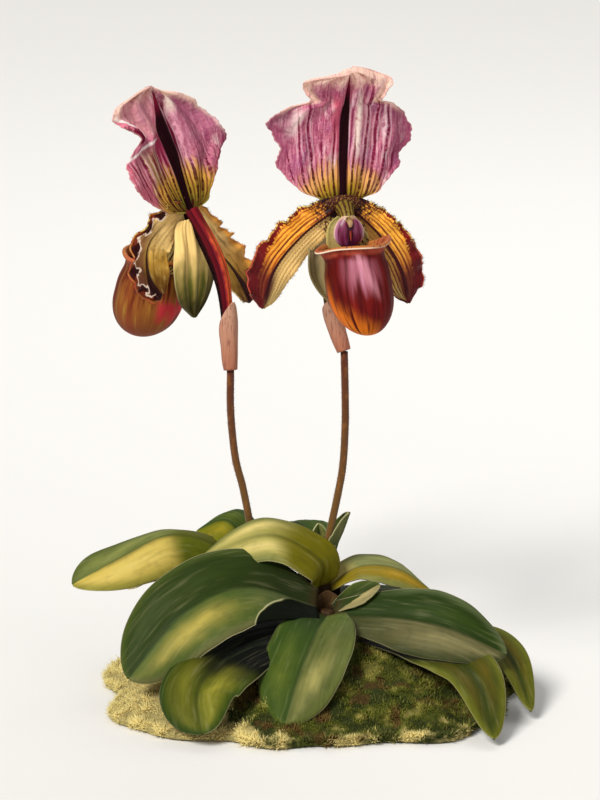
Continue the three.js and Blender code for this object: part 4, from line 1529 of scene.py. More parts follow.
LEAVES = (
    Leaf("young_leaf_tall", 13, 0.1, 1.6, (0, 0), (1.1, 0.9),
         ((9, 19, 46), (12, 20, 62), (15, 20, 70), (18, 19, 79)),
         "leaf_green", Green.DEEP, Green.DEEP, line=0.9),
    Leaf("young_leaf_short", 10, 0.1, 1.6, (0, 0), (1.1, 0.9),
         ((4, 20, 46), (7, 21, 61), (5, 22, 67), (4, 22, 73)), "leaf_green", Green.SOFT, Green.DEEP, line=0.6),
    Leaf("leaf_arching_top", 27, 0.2, 2.2, (-62, -40, -28), (0.5, -0.3),
         ((4, 11, 46), (4, 5, 60), (-19, 0, 73.5), (-49, -4, 64)),
         "leaf_olive", Green.CREAM, Green.CREAM, (0.52, 0.68)),
    Leaf("leaf_back_upright", 30, 0.3, 2.4, (20, -20, -30), (0.3, -0.2),
         ((-23, 22, 46), (-31, 25, 63), (-39, 30, 71), (-52, 38, 64)), "leaf_green", Green.LEAFY, Green.GOLD),
    Leaf("leaf_far_left", 29, 0.15, 2.6, (-26, -32, -38), (0.4, -0.7, -0.5, 0.5),
         ((-26, 16, 44), (-44, 13, 65), (-65, 9, 70), (-88, 4, 60), (-108, 0, 50)),
         "leaf_pale", Green.SLATE, Green.PALE, (0.4, 0.56)),
    Leaf("leaf_right_arch", 25, 0.2, 2.2, (22, 12, 10), (0.4, -0.2),
         ((9, 17, 44), (23, 20, 52), (41, 22, 50), (58, 22, 38)),
         "leaf_olive", Green.ARCH, Green.MIST, (0.16, 0.34)),
    Leaf("leaf_back_centre", 27, 0.3, 2.2, (0, 0), (0.4, 0.1),
         ((2, 20, 44), (-1, 34, 64), (-9, 52, 64), (-12, 78, 50)), "leaf_green", Green.LEAFY, Green.DEEP),
    Leaf("leaf_inner_right", 15, 0.1, 2, (24, 24), (0.5, 0.3),
         ((11, -2, 38.5), (18, -3, 43), (25, -3, 47), (32, -3, 51)), "leaf_green", Green.BUFF, Green.DEEP),
    Leaf("leaf_front_left", 43, 0.3, 3, (-40, -44, -40), (0.35, 0.2),
         ((3, -8, 42), (-29, -18, 54.5), (-57, -31, 46), (-81, -44, 20)),
         "leaf_green", Green.DEEP, Green.FRESH, line=0.9, root_shadow=1.0),
    Leaf("leaf_front_right", 35, 0.25, 2.2, (34, 40, 34), (0.35, 0.2),
         ((11, -8, 38), (38, -16, 39), (62, -24, 37), (88, -31, 27)), "leaf_green", Green.BEIGE, Green.DARK),
    Leaf("leaf_front_centre", 40, 0.4, 2.2, (0, 0), (0.4, 0.3),
         ((8, -9, 38), (3, -30, 37), (-5, -52, 24), (-11, -70, 8)), "leaf_green", Green.LEAFY, Green.SOFT),
    Leaf("leaf_lower_left", 38, 0.35, 2.2, (-14, -10), (0.35, 0.3),
         ((3, -9, 33), (-30, -34, 30), (-49, -60, 21), (-47, -80, 7)),
         "leaf_green", Green.NIGHT, Green.DUSK, (0.45, 0.66)),
    Leaf("leaf_lower_right", 28, 0.2, 1.8, (16, 10), (0.4, 0.35),
         ((13, -5, 30), (48, -18, 26), (72, -42, 22), (81, -78, 4)),
         "leaf_olive", Green.RUST, Green.RUST, (0.35, 0.6)),
    Leaf("leaf_far_right", 20, 0.2, 1.8, (12, 12), (0.4, 0.35),
         ((11, 14, 38), (60, 4, 27), (88, -14, 23), (99, -44, 5)), "leaf_olive", Green.RUST, Green.RUST),
    Leaf("leaf_back_left", 25, 0.3, 2.2, (8, 8), (0.35, 0.1),
         ((-25, 22, 38), (-49, 34, 47), (-68, 44, 41), (-86, 52, 33)), "leaf_pale", Green.STRAW, Green.STRAW),
    Leaf("leaf_back_right", 30, 0.3, 2.2, (-5, -5), (0.35, 0.1),
         ((10, 20, 39), (33, 46, 33), (54, 62, 25), (74, 76, 9)), "leaf_green", Green.LEAFY, Green.DEEP),
)


@dataclass(frozen=True)
class Crown:
    """A growth's short stem of clasping leaf bases."""

    name: str
    x: float
    y: float
    top: float
    sheaths: tuple[tuple[float, float], ...]

    FOOT = 14
    RADIUS = 6.5
    # Nearly black at the foot, a painted shade under the leaves, and brown above.
    FINISH = PlainFinish("crown_skin", 0.6, start=0x120A06, end=0x34200F, fleck=0x5A4424, flecks=0.35)

    def radius(self, t: Array, angle: Array) -> Array:
        """Swells in the middle, with the edges of the leaf bases round it."""
        swell = 0.78 + 0.3 * np.sin(math.pi * np.minimum(t * 1.1, 1)) - 0.3 * t * t
        return self.RADIUS * swell * (1 + 0.05 * np.sin(3 * angle + 5 * t))

    def build(self) -> None:
        """Models and dresses the stem."""
        route = Route(((self.x, self.y, self.FOOT), (self.x, self.y, self.top)))
        piece = rod_piece(f"{self.name}_stem", route, self.radius, (40, 16))
        dress(piece, (self.FINISH,), "crown", self.name)
        for number, (way, top) in enumerate(self.sheaths):
            self.build_sheath(f"{self.name}_sheath_{number + 1}", math.radians(way), top)

    def build_sheath(self, name: str, way: float, top: float) -> None:
        """A scale leaf that clasps the stem from one side and ends in a blunt point.

        Args:
            name: the piece's name.
            way: the direction across it, in radians.
            top: height of its point, in mm.
        """
        wrap = Table(((0, 120), (0.5, 105), (0.8, 70), (0.93, 40), (1, 6)))

        def section(t: Array, s: Array) -> tuple[Array, Array, Array]:
            """Wraps the scale round the stem.

            Args:
                t: shares of the way along.
                s: shares across, from -1 to 1.

            Returns:
                Steps across and out of the route, and half-widths, in mm.
            """
            angle = np.radians(wrap(t)) * s
            r = self.RADIUS * (1.12 + 0.1 * t) + 0.15 * np.cos(7 * angle)
            return r * np.sin(angle), r * np.cos(angle), r * np.radians(wrap(t))

        raised = 6
        heights = (self.FOOT + raised, (self.FOOT + top) / 2, top)
        route = Route([(self.x, self.y, z) for z in heights])
        blade = Blade(route, (math.cos(way), math.sin(way), 0), section)
        piece = blade_piece(name, blade, (36, 36), lambda s: 0.8 - 0.3 * s * s, 1)
        # Nearly black at the foot, a painted shade under the leaves, and brown above.
        skin = PlainFinish("sheath_skin", 0.6, start=0x1C1208, end=0x46301A, fleck=0x6A5A2C, flecks=0.4)
        dress(piece, (skin, skin), "crown")


CROWNS = (
    Crown("crown_left", -22, 18, 47, ((20, 45), (200, 38))),
    Crown("crown_right", 6, 16, 48, ((-25, 47), (160, 40))),
    Crown("crown_front", 8, -5, 40, ((0, 46.5), (-40, 43))),
)


# ------------------------------------------------------------------ blooms


def petal_thickness(s: Array) -> Array:
    """Thickness of petals and sepals, in mm, thinner at the margins."""
    return 0.9 * (1 - 0.35 * s * s)


@dataclass
class Bloom:
    """One bloom in its own frame, front -Y and up +Z, set on the end of its ovary."""

    name: str
    foot: Sequence[float]
    yaw: float
    height: float
    nod: float
    lean: float
    spine: Sequence[float]
    outlines: tuple[Rows, Rows]
    petals: tuple[Rows, Rows]
    synsepal: tuple[float, float]
    floor: float
    rim: float
    sway: float
    ears: tuple[float, float]
    lift: float
    seed: float
    wedge: float
    fan: float
    turned: bool

    CUP = Table(((0, 0.12), (0.3, 0.16), (0.6, 0.14), (0.85, 0.02), (1, -0.06)))
    PETAL_WIDTH = Table(
        ((0, 5), (0.08, 6.8), (0.16, 8), (0.35, 9.6), (0.6, 10.2), (0.8, 9), (0.93, 5.6), (1, 1))
    )
    SYNSEPAL_SHARE = Table(
        ((0, 0.6), (0.08, 0.8), (0.2, 0.93), (0.45, 1), (0.65, 0.95), (0.85, 0.6), (1, 0.06))
    )
    POUCH_HALF = (14.4, 18.5)
    FORWARD = (32.5, 20.5)
    HAIRS = 840

    def place(self, points: Array) -> Array:
        """Points of the bloom's own frame, where the bloom stands.

        Args:
            points: points, a row each, in mm.

        Returns:
            The points in the plant's frame.
        """
        c, s = math.cos(math.radians(self.yaw)), math.sin(math.radians(self.yaw))
        turn = np.array([[c, s, 0], [-s, c, 0], [0, 0, 1]])
        return points @ turn + np.array(self.foot, float)

    def tilted(self, points: Array) -> Array:
        """Points of the dorsal sepal's plane, leant over sideways and then nodded.

        Args:
            points: points, a row each, in mm.

        Returns:
            The turned points.
        """
        nod, lean = math.radians(self.nod), math.radians(self.lean)
        tip = np.array([[1, 0, 0], [0, math.cos(nod), -math.sin(nod)], [0, math.sin(nod), math.cos(nod)]])
        tilt = np.array(
            [[math.cos(lean), 0, math.sin(lean)], [0, 1, 0], [-math.sin(lean), 0, math.cos(lean)]]
        )
        return points @ (tilt @ tip).T

    def build(self) -> None:
        """Models and dresses every piece of the bloom."""
        self.build_dorsal()
        self.build_petals()
        self.build_synsepal()
        self.build_pouch()
        self.build_column()

    def build_dorsal(self) -> None:
        """The hooded sepal at the top, pleated lengthwise, with waved margins."""
        left, right = (Table(rows) for rows in self.outlines)

        def section(t: Array, s: Array) -> tuple[Array, Array, Array]:
            """Cup, pleats, keel, waves and fine creases.

            Args:
                t: shares of the way along.
                s: shares across, from -1 to 1.

            Returns:
                Steps across and out of the route, and half-widths, in mm.
            """
            scallop = 1 + 0.012 * np.sin(TAU * (11 * t + self.seed)) + 0.008 * np.sin(TAU * 27 * t)
            w = np.where(s < 0, left(t), right(t)) * scallop
            cup = w * self.CUP(t) * s * s
            pleats = 1.5 * np.minimum(1, 2.5 * t) * np.cos(TAU * 2.25 * s) * (1 - 0.4 * s * s)
            keel = -2 * np.exp(-((s / 0.1) ** 2)) * (1 - t)
            wave = 3 * np.abs(s) ** 4 * np.sin(TAU * (3.1 * t + np.where(s > 0, 0.2, 0.65))) * t
            ruffle = 0.5 * np.abs(s) ** 7 * np.sin(TAU * (9 * t + 1.5 * s + self.seed)) * t
            crease = 0.22 * np.sin(TAU * (7.5 * s + 0.6 * np.sin(5 * t + self.seed))) * np.minimum(1, 3 * t)
            return w * s, cup + pleats + keel + wave + ruffle + crease, w

        rise = self.height / (len(self.spine) - 1)
        spine = np.array([[0, back, rise * i] for i, back in enumerate(self.spine)])
        side = self.tilted(np.array([[1.0, 0, 0]]))[0]
        blade = Blade(Route(self.tilted(spine)), side, section)
        piece = blade_piece(f"{self.name}_dorsal", blade, (110, 120), petal_thickness, -1, self.place)
        looks = {"seed": self.seed, "wedge": self.wedge, "fan": self.fan, "turned": self.turned}
        face = DorsalFinish(f"{self.name}_dorsal_face", 0.6, gloss=0.05, **looks)
        back = DorsalFinish(f"{self.name}_dorsal_back", 0.6, gloss=0.05, **looks)
        dress(piece, (face, back), "dorsal_sepal", f"{self.name}_dorsal_sepal")

    def build_petals(self) -> None:
        """The two drooping side petals, frilled along their upper margin."""
        for points, to_side, word in zip(self.petals, (-1, 1), ("left", "right")):

            def section(t: Array, s: Array) -> tuple[Array, Array, Array]:
                """A toothed and frilled upper half, a plainer lower half and the keel.

                Args:
                    t: shares of the way along.
                    s: shares across, from -1 to 1.

                Returns:
                    Steps across and out of the route, and half-widths, in mm.
                """
                upper, lower = np.maximum(0, s), np.maximum(0, -s)
                teeth = 0.07 * upper**2 * np.abs(np.sin(math.pi * (11 * t + self.seed)))
                w = self.PETAL_WIDTH(t) * (1 + teeth + 0.012 * np.sin(TAU * 17 * t))
                grown = np.minimum(1, 4 * t)
                frill = 2.3 * grown * upper**3 * np.sin(TAU * 5.5 * t)
                fine = 0.6 * grown * upper**5 * np.sin(TAU * (13 * t + self.seed))
                lap = 1.2 * grown * lower**3 * np.sin(TAU * (2.5 * t + 0.2))
                keel = -0.9 * np.exp(-((s / 0.16) ** 2))
                veins = 0.1 * np.cos(TAU * 5 * s)
                lift = 0.16 * w * s * s + frill + fine + lap + keel + veins
                return w * s, -to_side * lift, w

            blade = Blade(Route(points), (0.7 * to_side, 0, 0.7), section, (0, 12 * to_side))
            piece = blade_piece(
                f"{self.name}_side_petal_{word}", blade, (44, 150), petal_thickness, to_side, self.place
            )
            above, below, stripes = (0xF29A28, 0xFFD486, 0.0) if to_side < 0 else (0xFFB03A, 0xA27434, 1.0)
            face = PetalFinish(f"petal_face_{word}", 0.45, above=above, below=below, stripes=stripes)
            hem = 1.0 if self.turned and to_side > 0 else 0.0
            back = PetalBackFinish(f"{self.name}_petal_back_{word}", 0.5, hem=hem)
            dress(piece, (face, back), "petal", f"{self.name}_petal_{word}")
            self.build_hairs(blade, to_side, word)

    def build_hairs(self, blade: Blade, to_side: int, word: str) -> None:
        """Dark hairs on a petal: along both margins and thick at its foot.

        Args:
            blade: the petal.
            to_side: -1 for the left petal, 1 for the right.
            word: its side, as its name says it.
        """
        rng = np.random.default_rng(int(self.seed * 10) + to_side + 3)
        half = self.HAIRS // 2
        on_edge = np.arange(self.HAIRS) < half
        t = np.concatenate([rng.uniform(0.06, 0.97, half), rng.uniform(0.02, 0.2, half)])
        edge = np.where(rng.random(half) < 0.7, 0.985, -0.985)
        s = np.concatenate([edge, rng.uniform(-0.85, 0.95, half)])
        roots, _, _ = blade.shape(t, s)
        inner, _, _ = blade.shape(t, s * 0.9)
        ahead, _, out = blade.route.frame(t, blade.side, np.zeros_like(t))
        along_edge = unit(roots - inner) + out * to_side * 0.5
        face = out * to_side + ahead * 0.6
        heads = np.where(on_edge[:, None], along_edge, face) + rng.normal(0, 0.22, roots.shape)
        lengths = rng.uniform(0.5, 1.1, len(t)) * np.where(on_edge, 1.5, 1.0)
        sizes = np.stack([np.full(len(t), 1.0), lengths], 1)
        origin = self.place(np.zeros((1, 3)))
        piece = scatter(
            f"{self.name}_petal_hairs_{word}", spike(3, 0.07, 1.0), self.place(roots),
            self.place(heads) - origin, sizes, rng.uniform(0, TAU, len(t)),
        )
        dress(piece, (PlainFinish("hair", 0.5, start=0x2A0810, end=0x4A1420),), "petal")

    def build_synsepal(self) -> None:
        """The two lower sepals grown into one, behind the pouch."""
        half, length = self.synsepal

        def section(t: Array, s: Array) -> tuple[Array, Array, Array]:
            """A shallow cup with ribs.

            Args:
                t: shares of the way along.
                s: shares across, from -1 to 1.

            Returns:
                Steps across and out of the route, and half-widths, in mm.
            """
            w = half * self.SYNSEPAL_SHARE(t)
            ribs = 0.7 * np.cos(TAU * 2 * s) * np.minimum(1, 3 * t)
            fine = 0.12 * np.cos(TAU * 6 * s) + 0.5 * s**4 * np.sin(TAU * (2.2 * t + 0.3 * s))
            return w * s, 0.2 * w * s * s + ribs + fine, w

        route = Route(((0, 2.2, -3), (0, 6, -0.35 * length), (0, 5.5, -0.7 * length), (0, 2, -length)))
        blade = Blade(route, (1, 0, 0), section)
        piece = blade_piece(f"{self.name}_lower_sepal", blade, (56, 80), petal_thickness, 1, self.place)
        face = SynsepalFinish("synsepal_face", 0.5, top=0xCDB48A, middle=0xB49C74, foot=0x8A7A52)
        dress(piece, (face, SynsepalFinish("synsepal_back", 0.5)), "synsepal", f"{self.name}_synsepal")

    def pouch_point(self, h: Array, angle: Array) -> Array:
        """The outside of the pouch at a share of its height and an angle, -90 degrees in front.

        Args:
            h: shares of the height.
            angle: angles round the axis, in radians.

        Returns:
            Points in the bloom's frame, in mm.
        """
        half_width, half_depth = self.POUCH_HALF
        side = np.abs(np.cos(angle))
        front = np.maximum(0, -np.sin(angle))
        rounded = np.sqrt(np.maximum(0, 1 - (1 - np.minimum(h / 0.48, 1)) ** 2))
        waist = 1 - 0.1 * bump_at(h, 0.86, 0.12)
        narrowing = 1 - 0.2 * h * h
        ear = side**6 * np.maximum(0, (h - 0.86) / 0.14) ** 2
        lip = 0.8 * front * np.maximum(0, (h - 0.92) / 0.08) ** 2
        ear_height = np.where(np.cos(angle) > 0, self.ears[1], self.ears[0]) * side**6
        top = self.rim + ear_height + self.lift * front**2 - 3 * np.maximum(0, np.sin(angle))
        forward = self.FORWARD[0] + (self.FORWARD[1] - self.FORWARD[0]) * h
        veins = 0.12 * np.sin(angle * 17 + 2 * np.sin(3 * h)) * np.sin(math.pi * np.minimum(h, 1))
        return np.stack(
            [
                (half_width * rounded * waist + 1.6 * ear + veins) * np.cos(angle) + self.sway * (1 - h),
                (half_depth * rounded * waist * narrowing + lip + veins) * np.sin(angle) - forward,
                self.floor + (top - self.floor) * h,
            ],
            1,
        )

    def build_pouch(self) -> None:
        """The open slipper with its rolled rim, and the claw that holds it."""
        wall, roll_share, roll_turn = 0.8, 0.07, math.radians(215)

        def shape(u: Array, v: Array) -> tuple[Array, Sequence[Array], Sequence[Array]]:
            """Bends the grid to the pouch's outside and its rolled rim.

            Args:
                u: shares across, from -1 to 1.
                v: shares along, from 0 to 1.

            Returns:
                Places, and what the finish reads as "lay" and as "span".
            """
            angle = math.pi * (u - 0.5)
            body = np.minimum(v / (1 - roll_share), 1)
            h = 0.004 + 0.996 * np.sin(body * math.pi / 2) ** 1.25 * body**0.15
            rolled = np.maximum(0, v - (1 - roll_share)) / roll_share
            curl = rolled * roll_turn
            roll_radius = 0.22 + 0.1 * np.abs(np.cos(angle)) ** 5
            points = self.pouch_point(h, angle)
            outward = np.stack([np.cos(angle), np.sin(angle), np.zeros_like(angle)], 1)
            points = points + outward * (roll_radius * (1 - np.cos(curl)))[:, None]
            points[:, 2] += roll_radius * np.sin(curl)
            return self.place(points), (u, h, rolled), (u, h, rolled)

        piece = bend_grid(f"{self.name}_slipper", 112, 84, shape)
        close_seam(capped=False)
        piece.data.materials.append(None)
        piece.data.materials.append(None)
        shell = piece.modifiers.new("wall", "SOLIDIFY")
        shell.thickness = wall * MM
        shell.offset = -1
        shell.material_offset = 1
        bpy.ops.object.modifier_apply(modifier=shell.name)
        brim = 0x7A3024 if self.turned else 0xF0DAC2
        face = PouchFinish(f"{self.name}_pouch_face", 0.55, gloss=0.06, brim=brim, turned=self.turned)
        inside = InnerPouchFinish(f"{self.name}_pouch_inside", 0.5, brim=brim)
        dress(piece, (face, inside), "pouch", f"{self.name}_pouch")

        back = self.pouch_point(np.array([0.9]), np.array([math.pi / 2]))[0]
        width = Table(((0, 3), (0.35, 7.5), (0.7, 9.5), (1, 8)))

        def section(t: Array, s: Array) -> tuple[Array, Array, Array]:
            """A shallow channel."""
            w = width(t)
            return w * s, 0.35 * w * s * s, w

        foot = (back[0], back[1] - 0.4, back[2] - 1)
        claw = Blade(
            Route(((0, -1.8, -3.4), (0, -3.2, -7), (0, back[1] + 1.2, back[2] + 6), foot)), (1, 0, 0), section
        )
        piece = blade_piece(f"{self.name}_claw", claw, (20, 30), lambda s: 1 - 0.3 * s * s, 1, self.place)
        skin = ClawFinish("claw_skin", 0.5)
        dress(piece, (skin, skin), "pouch")

    def build_column(self) -> None:
        """The column's stalk and the shield that ends it, with a boss and a tooth on it."""
        stalk = Route(((0, -3.2, 0.6), (0, -6.5, -0.4), (0, -9.5, -2.2), (0, -12, -5)))
        piece = rod_piece(
            f"{self.name}_column_stalk",
            stalk,
            lambda t, a: 2.9 + 1.3 * (1 - t) ** 2 + 0.1 * np.cos(3 * a),
            (32, 24),
            self.place,
        )
        skin = PlainFinish(
            "column_skin", 0.5, start=0x7A6824, end=0x8A7430, fleck=0x3A1016, flecks=0.6, fineness=1.2,
            stripes=5.0,
        )
        dress(piece, (skin,), "column")

        height = Table(((0, 0.8), (0.2, 2.9), (0.5, 3.6), (0.8, 2.9), (1, 0.8)))

        def bulge(t: Array, s: Array) -> tuple[Array, Array, Array]:
            """The collar's swollen section."""
            w = height(t)
            return w * s, 0.35 * w * (1 - s * s) + 0.2 * np.sin(TAU * 5 * t) * (1 - s * s), w

        across = Route(((-8.8, -1.0, 1.6), (-3, -2.2, 2.6), (3, -2.2, 2.6), (8.8, -1.0, 1.6)))
        collar = Blade(across, (0, 0, 1), bulge)
        piece = blade_piece(f"{self.name}_collar", collar, (24, 48), lambda s: 0.9 - 0.4 * s * s, 1, self.place)
        dark = PlainFinish(
            "collar_skin", 0.6, start=0x3A1414, end=0x3A1414, fleck=0xC08E38, flecks=0.6, fineness=2.2,
            relief=0.3,
        )
        dress(piece, (dark, dark), "petal")

        width = Table(((0, 2.6), (0.2, 5.4), (0.5, 6.6), (0.8, 5.4), (1, 2)))

        def section(t: Array, s: Array) -> tuple[Array, Array, Array]:
            """A domed shield with a cleft down its middle.

            Args:
                t: shares of the way along.
                s: shares across, from -1 to 1.

            Returns:
                Steps across and out of the route, and half-widths, in mm.
            """
            w = width(t)
            cleft = -1.1 * np.exp(-((s / 0.2) ** 2)) * np.sin(math.pi * t)
            rolled = -0.6 * np.abs(s) ** 6
            return w * s, -0.34 * w * s * s + cleft + rolled, w

        down = Route(((0, -12, -1.2), (0, -14.2, -6), (0, -14.8, -11), (0, -14, -15.6)))
        shield = Blade(down, (1, 0, 0), section)
        piece = blade_piece(f"{self.name}_shield", shield, (40, 48), lambda s: 1.5 - 0.5 * s * s, 1, self.place)
        dress(piece, (ShieldFinish("shield_face", 0.35, coat=0.4), skin), "column", f"{self.name}_column")

        tooth = Route(((0, -15.4, -7.2), (0, -16.2, -9), (0, -16.3, -11.6)))
        piece = rod_piece(f"{self.name}_tooth", tooth, lambda t, a: 0.75 - 0.6 * t, (16, 10), self.place)
        dress(piece, (PlainFinish("tooth_skin", 0.35, start=0x5E1022, end=0xC2552E),), "column")
        boss = Route(((0, -12.4, -2.6), (0, -14.6, -3.6), (0, -15.4, -5.6)))
        piece = rod_piece(
            f"{self.name}_boss",
            boss,
            lambda t, a: 0.3 + 1.0 * np.sin(math.pi * (0.12 + 0.8 * t)),
            (20, 14),
            self.place,
        )
        dress(piece, (PlainFinish("boss_skin", 0.4, start=0x8A6A3A, end=0xC8A078),), "column")


@dataclass
class Stalk:
    """A flower stalk: scape, bract, ovary and bloom."""

    name: str
    scape: Rows
    ovary: Rows
    bract_share: float
    bract_side: float
    bloom: Bloom

    SCAPE_RADIUS = 1.7
    OVARY_RADIUS = 3.6
    SCAPE_HAIRS = 900
    OVARY_HAIRS = 800

    def scape_radius(self, t: Array, angle: Array) -> Array:
        """The same all along and all round."""
        return self.SCAPE_RADIUS + 0 * t

    def ovary_radius(self, t: Array, angle: Array) -> Array:
        """A ribbed club, thickest past its middle."""
        thickness = Table(((0, 0.55), (0.25, 0.75), (0.6, 1.05), (0.88, 0.98), (1, 1.05)))
        return self.OVARY_RADIUS * thickness(t) * (1 + 0.1 * np.cos(6 * angle))

    def build(self) -> None:
        """Models and dresses the stalk and its bloom."""
        scape = Route(self.scape)
        piece = rod_piece(f"scape_{self.name}_stem", scape, self.scape_radius, (24, 90))
        skin = PlainFinish(
            "scape_skin", 0.6, sheen=0.3, start=0x6A4E1C, end=0x54240E, fleck=0x8A5420, flecks=0.5
        )
        dress(piece, (skin,), "scape", f"scape_{self.name}")

        ovary = Route(self.ovary)
        piece = rod_piece(f"ovary_{self.name}_club", ovary, self.ovary_radius, (72, 60))
        shade = 0x120206 if self.bloom.turned else 0x5A3C2C
        skin = OvaryFinish(f"ovary_{self.name}_skin", 0.6, gloss=0.06, shade=shade)
        dress(piece, (skin,), "ovary", f"ovary_{self.name}")
        self.build_down("scape", scape, self.scape_radius, self.SCAPE_HAIRS)
        self.build_down("ovary", ovary, self.ovary_radius, self.OVARY_HAIRS)
        self.build_bract(ovary)
        self.bloom.build()

    def build_down(self, part: str, route: Route, radius: Callable[[Array, Array], Array], count: int) -> None:
        """Fine hairs that stand off a rod.

        Args:
            part: scape or ovary.
            route: the rod's middle line.
            radius: mm by the share along and the angle.
            count: how many hairs.
        """
        rng = np.random.default_rng(count + len(self.name))
        t, angle = rng.uniform(0.03, 0.97, count), rng.uniform(-math.pi, math.pi, count)
        ahead, across, out = route.frame(t, (1, 0, 0), np.zeros_like(t))
        outward = across * np.cos(angle)[:, None] + out * np.sin(angle)[:, None]
        roots = route.at(t) + outward * (radius(t, angle) - 0.05)[:, None]
        heads = outward + ahead * 0.4 + rng.normal(0, 0.2, outward.shape)
        sizes = np.stack([np.ones(count), rng.uniform(0.5, 0.9, count)], 1)
        piece = scatter(
            f"{part}_{self.name}_down", spike(3, 0.05, 1.0), roots, heads, sizes, rng.uniform(0, TAU, count)
        )
        dress(piece, (PlainFinish("down", 0.6, start=0x6A3A2A, end=0xB08A6A),), part)

    def build_bract(self, ovary: Route) -> None:
        """The sheath that clasps the ovary's foot and opens to a point.

        Args:
            ovary: the ovary's middle line.
        """
        shares = np.linspace(0, 1, 400)
        steps = np.linalg.norm(np.diff(ovary.at(shares), axis=0), axis=1)
        gone = np.concatenate([[0], np.cumsum(steps)]) / steps.sum()
        stops = np.interp(np.linspace(0, self.bract_share, 4), gone, shares)
        radius = Table(((0, 2.8), (0.3, 3.6), (0.65, 4.3), (1, 5)))
        wrap = Table(((0, 150), (0.35, 135), (0.65, 100), (0.88, 48), (1, 8)))

        def section(t: Array, s: Array) -> tuple[Array, Array, Array]:
            """Wraps the sheath round the ovary.

            Args:
                t: shares of the way along.
                s: shares across, from -1 to 1.

            Returns:
                Steps across and out of the route, and half-widths, in mm.
            """
            angle = np.radians(wrap(t)) * s
            r = radius(t) + 0.12 * np.cos(5 * angle) + 0.2 * s * s * np.sin(TAU * 2 * t)
            return r * np.sin(angle), r * np.cos(angle), r * np.radians(wrap(t))

        way = math.radians(self.bract_side)
        blade = Blade(Route(ovary.at(stops)), (math.cos(way), math.sin(way), 0), section)
        piece = blade_piece(f"bract_{self.name}_sheath", blade, (40, 48), lambda s: 0.8 - 0.35 * s * s, 1)
        skin = PlainFinish(
            "bract_skin", 0.6, start=0x9E624A, end=0xBC9078, fleck=0x7C4A40, flecks=0.8, fineness=1.3,
            stretch=0.08,
        )
        dress(piece, (skin, skin), "bract", f"bract_{self.name}")


STALKS = (
    Stalk(
        "left",
        ((-22.5, 18, 47.5), (-26, 17, 66.5), (-30.5, 16.5, 91), (-34, 16, 106), (-36, 15.5, 127.5),
         (-36, 15.5, 147)),
        ((-36, 15.5, 147.4), (-38, 21, 176.5), (-41, 27, 191), (-47, 33, 204), (-54.5, 38, 216)),
        0.4,
        222,
        Bloom(
            "left_bloom",
            foot=(-54.5, 38, 216),
            yaw=-130,
            height=58.5,
            nod=9,
            lean=7,
            spine=(0.5, -2.5, -6, -9.5),
            outlines=(
                ((0, 4), (0.02, 10.5), (0.083, 13.7), (0.246, 21.5), (0.332, 26), (0.44, 32), (0.52, 30),
                 (0.64, 29), (0.73, 25.5), (0.81, 21), (0.876, 15), (0.94, 8), (0.977, 4), (1, 1)),
                ((0, 4), (0.05, 15), (0.115, 21), (0.257, 31), (0.367, 35), (0.51, 32.5), (0.58, 27),
                 (0.65, 19.5), (0.72, 20.5), (0.8, 24), (0.88, 26.5), (0.94, 24), (0.985, 10), (1, 1)),
            ),
            petals=(
                ((-3.5, -1.5, -1), (-14.5, 0, -17.5), (-25, 4, -31), (-33, 8, -47)),
                ((3.5, -1.5, 1), (14, -2, -4), (22.5, -4.5, -13), (21.5, -6, -26), (13.5, -7, -40)),
            ),
            synsepal=(14, 49),
            floor=-64,
            rim=-22,
            sway=-2,
            ears=(0, -1.5),
            lift=0.5,
            seed=0.7,
            wedge=3.4,
            fan=23,
            turned=True,
        ),
    ),
    Stalk(
        "right",
        ((6.5, 17, 49), (8.5, 16.5, 66.5), (12.5, 16, 87), (15, 15.5, 102), (16, 15.5, 120), (16, 15, 135),
         (15.5, 15, 156)),
        ((15.5, 15, 156.4), (11.5, 17.5, 169), (9.5, 15.5, 184.5), (11, 8.5, 205), (14.5, -3, 226.5)),
        0.34,
        165,
        Bloom(
            "right_bloom",
            foot=(14.5, -3, 226.5),
            yaw=12,
            height=63,
            nod=0,
            lean=2,
            spine=(1.5, 4, 2, -7),
            outlines=(
                ((0, 4), (0.03, 8), (0.068, 11.5), (0.1, 17), (0.165, 22), (0.245, 27), (0.31, 29.5),
                 (0.39, 27.5), (0.5, 31.5), (0.57, 34), (0.64, 30.5), (0.7, 26.5), (0.745, 16.5),
                 (0.8, 18.5), (0.875, 20.5), (0.91, 19.5), (0.945, 14.5), (0.975, 8), (1, 1)),
                ((0, 4), (0.03, 8), (0.065, 10.5), (0.1, 16.5), (0.175, 20.5), (0.23, 24), (0.3, 27.5),
                 (0.363, 26.5), (0.42, 30), (0.507, 31.8), (0.59, 30), (0.66, 26.5), (0.72, 21.5), (0.75, 16),
                 (0.8, 16), (0.86, 17.5), (0.925, 19), (0.965, 11.5), (0.988, 6), (1, 1)),
            ),
            petals=(
                ((-3.5, -1.5, 0.5), (-18.5, 0, -11), (-30.5, 4, -27), (-35, 9, -46)),
                ((3.5, -1.5, 0.5), (17, 0.5, -13), (27.5, 5, -29), (33, 10, -47)),
            ),
            synsepal=(15, 47),
            floor=-50.2,
            rim=-12.5,
            sway=3.5,
            ears=(-2.6, 2.7),
            lift=2.2,
            seed=0.2,
            wedge=2.3,
            fan=21,
            turned=False,
        ),
    ),
)


# ------------------------------------------------------------------ moss


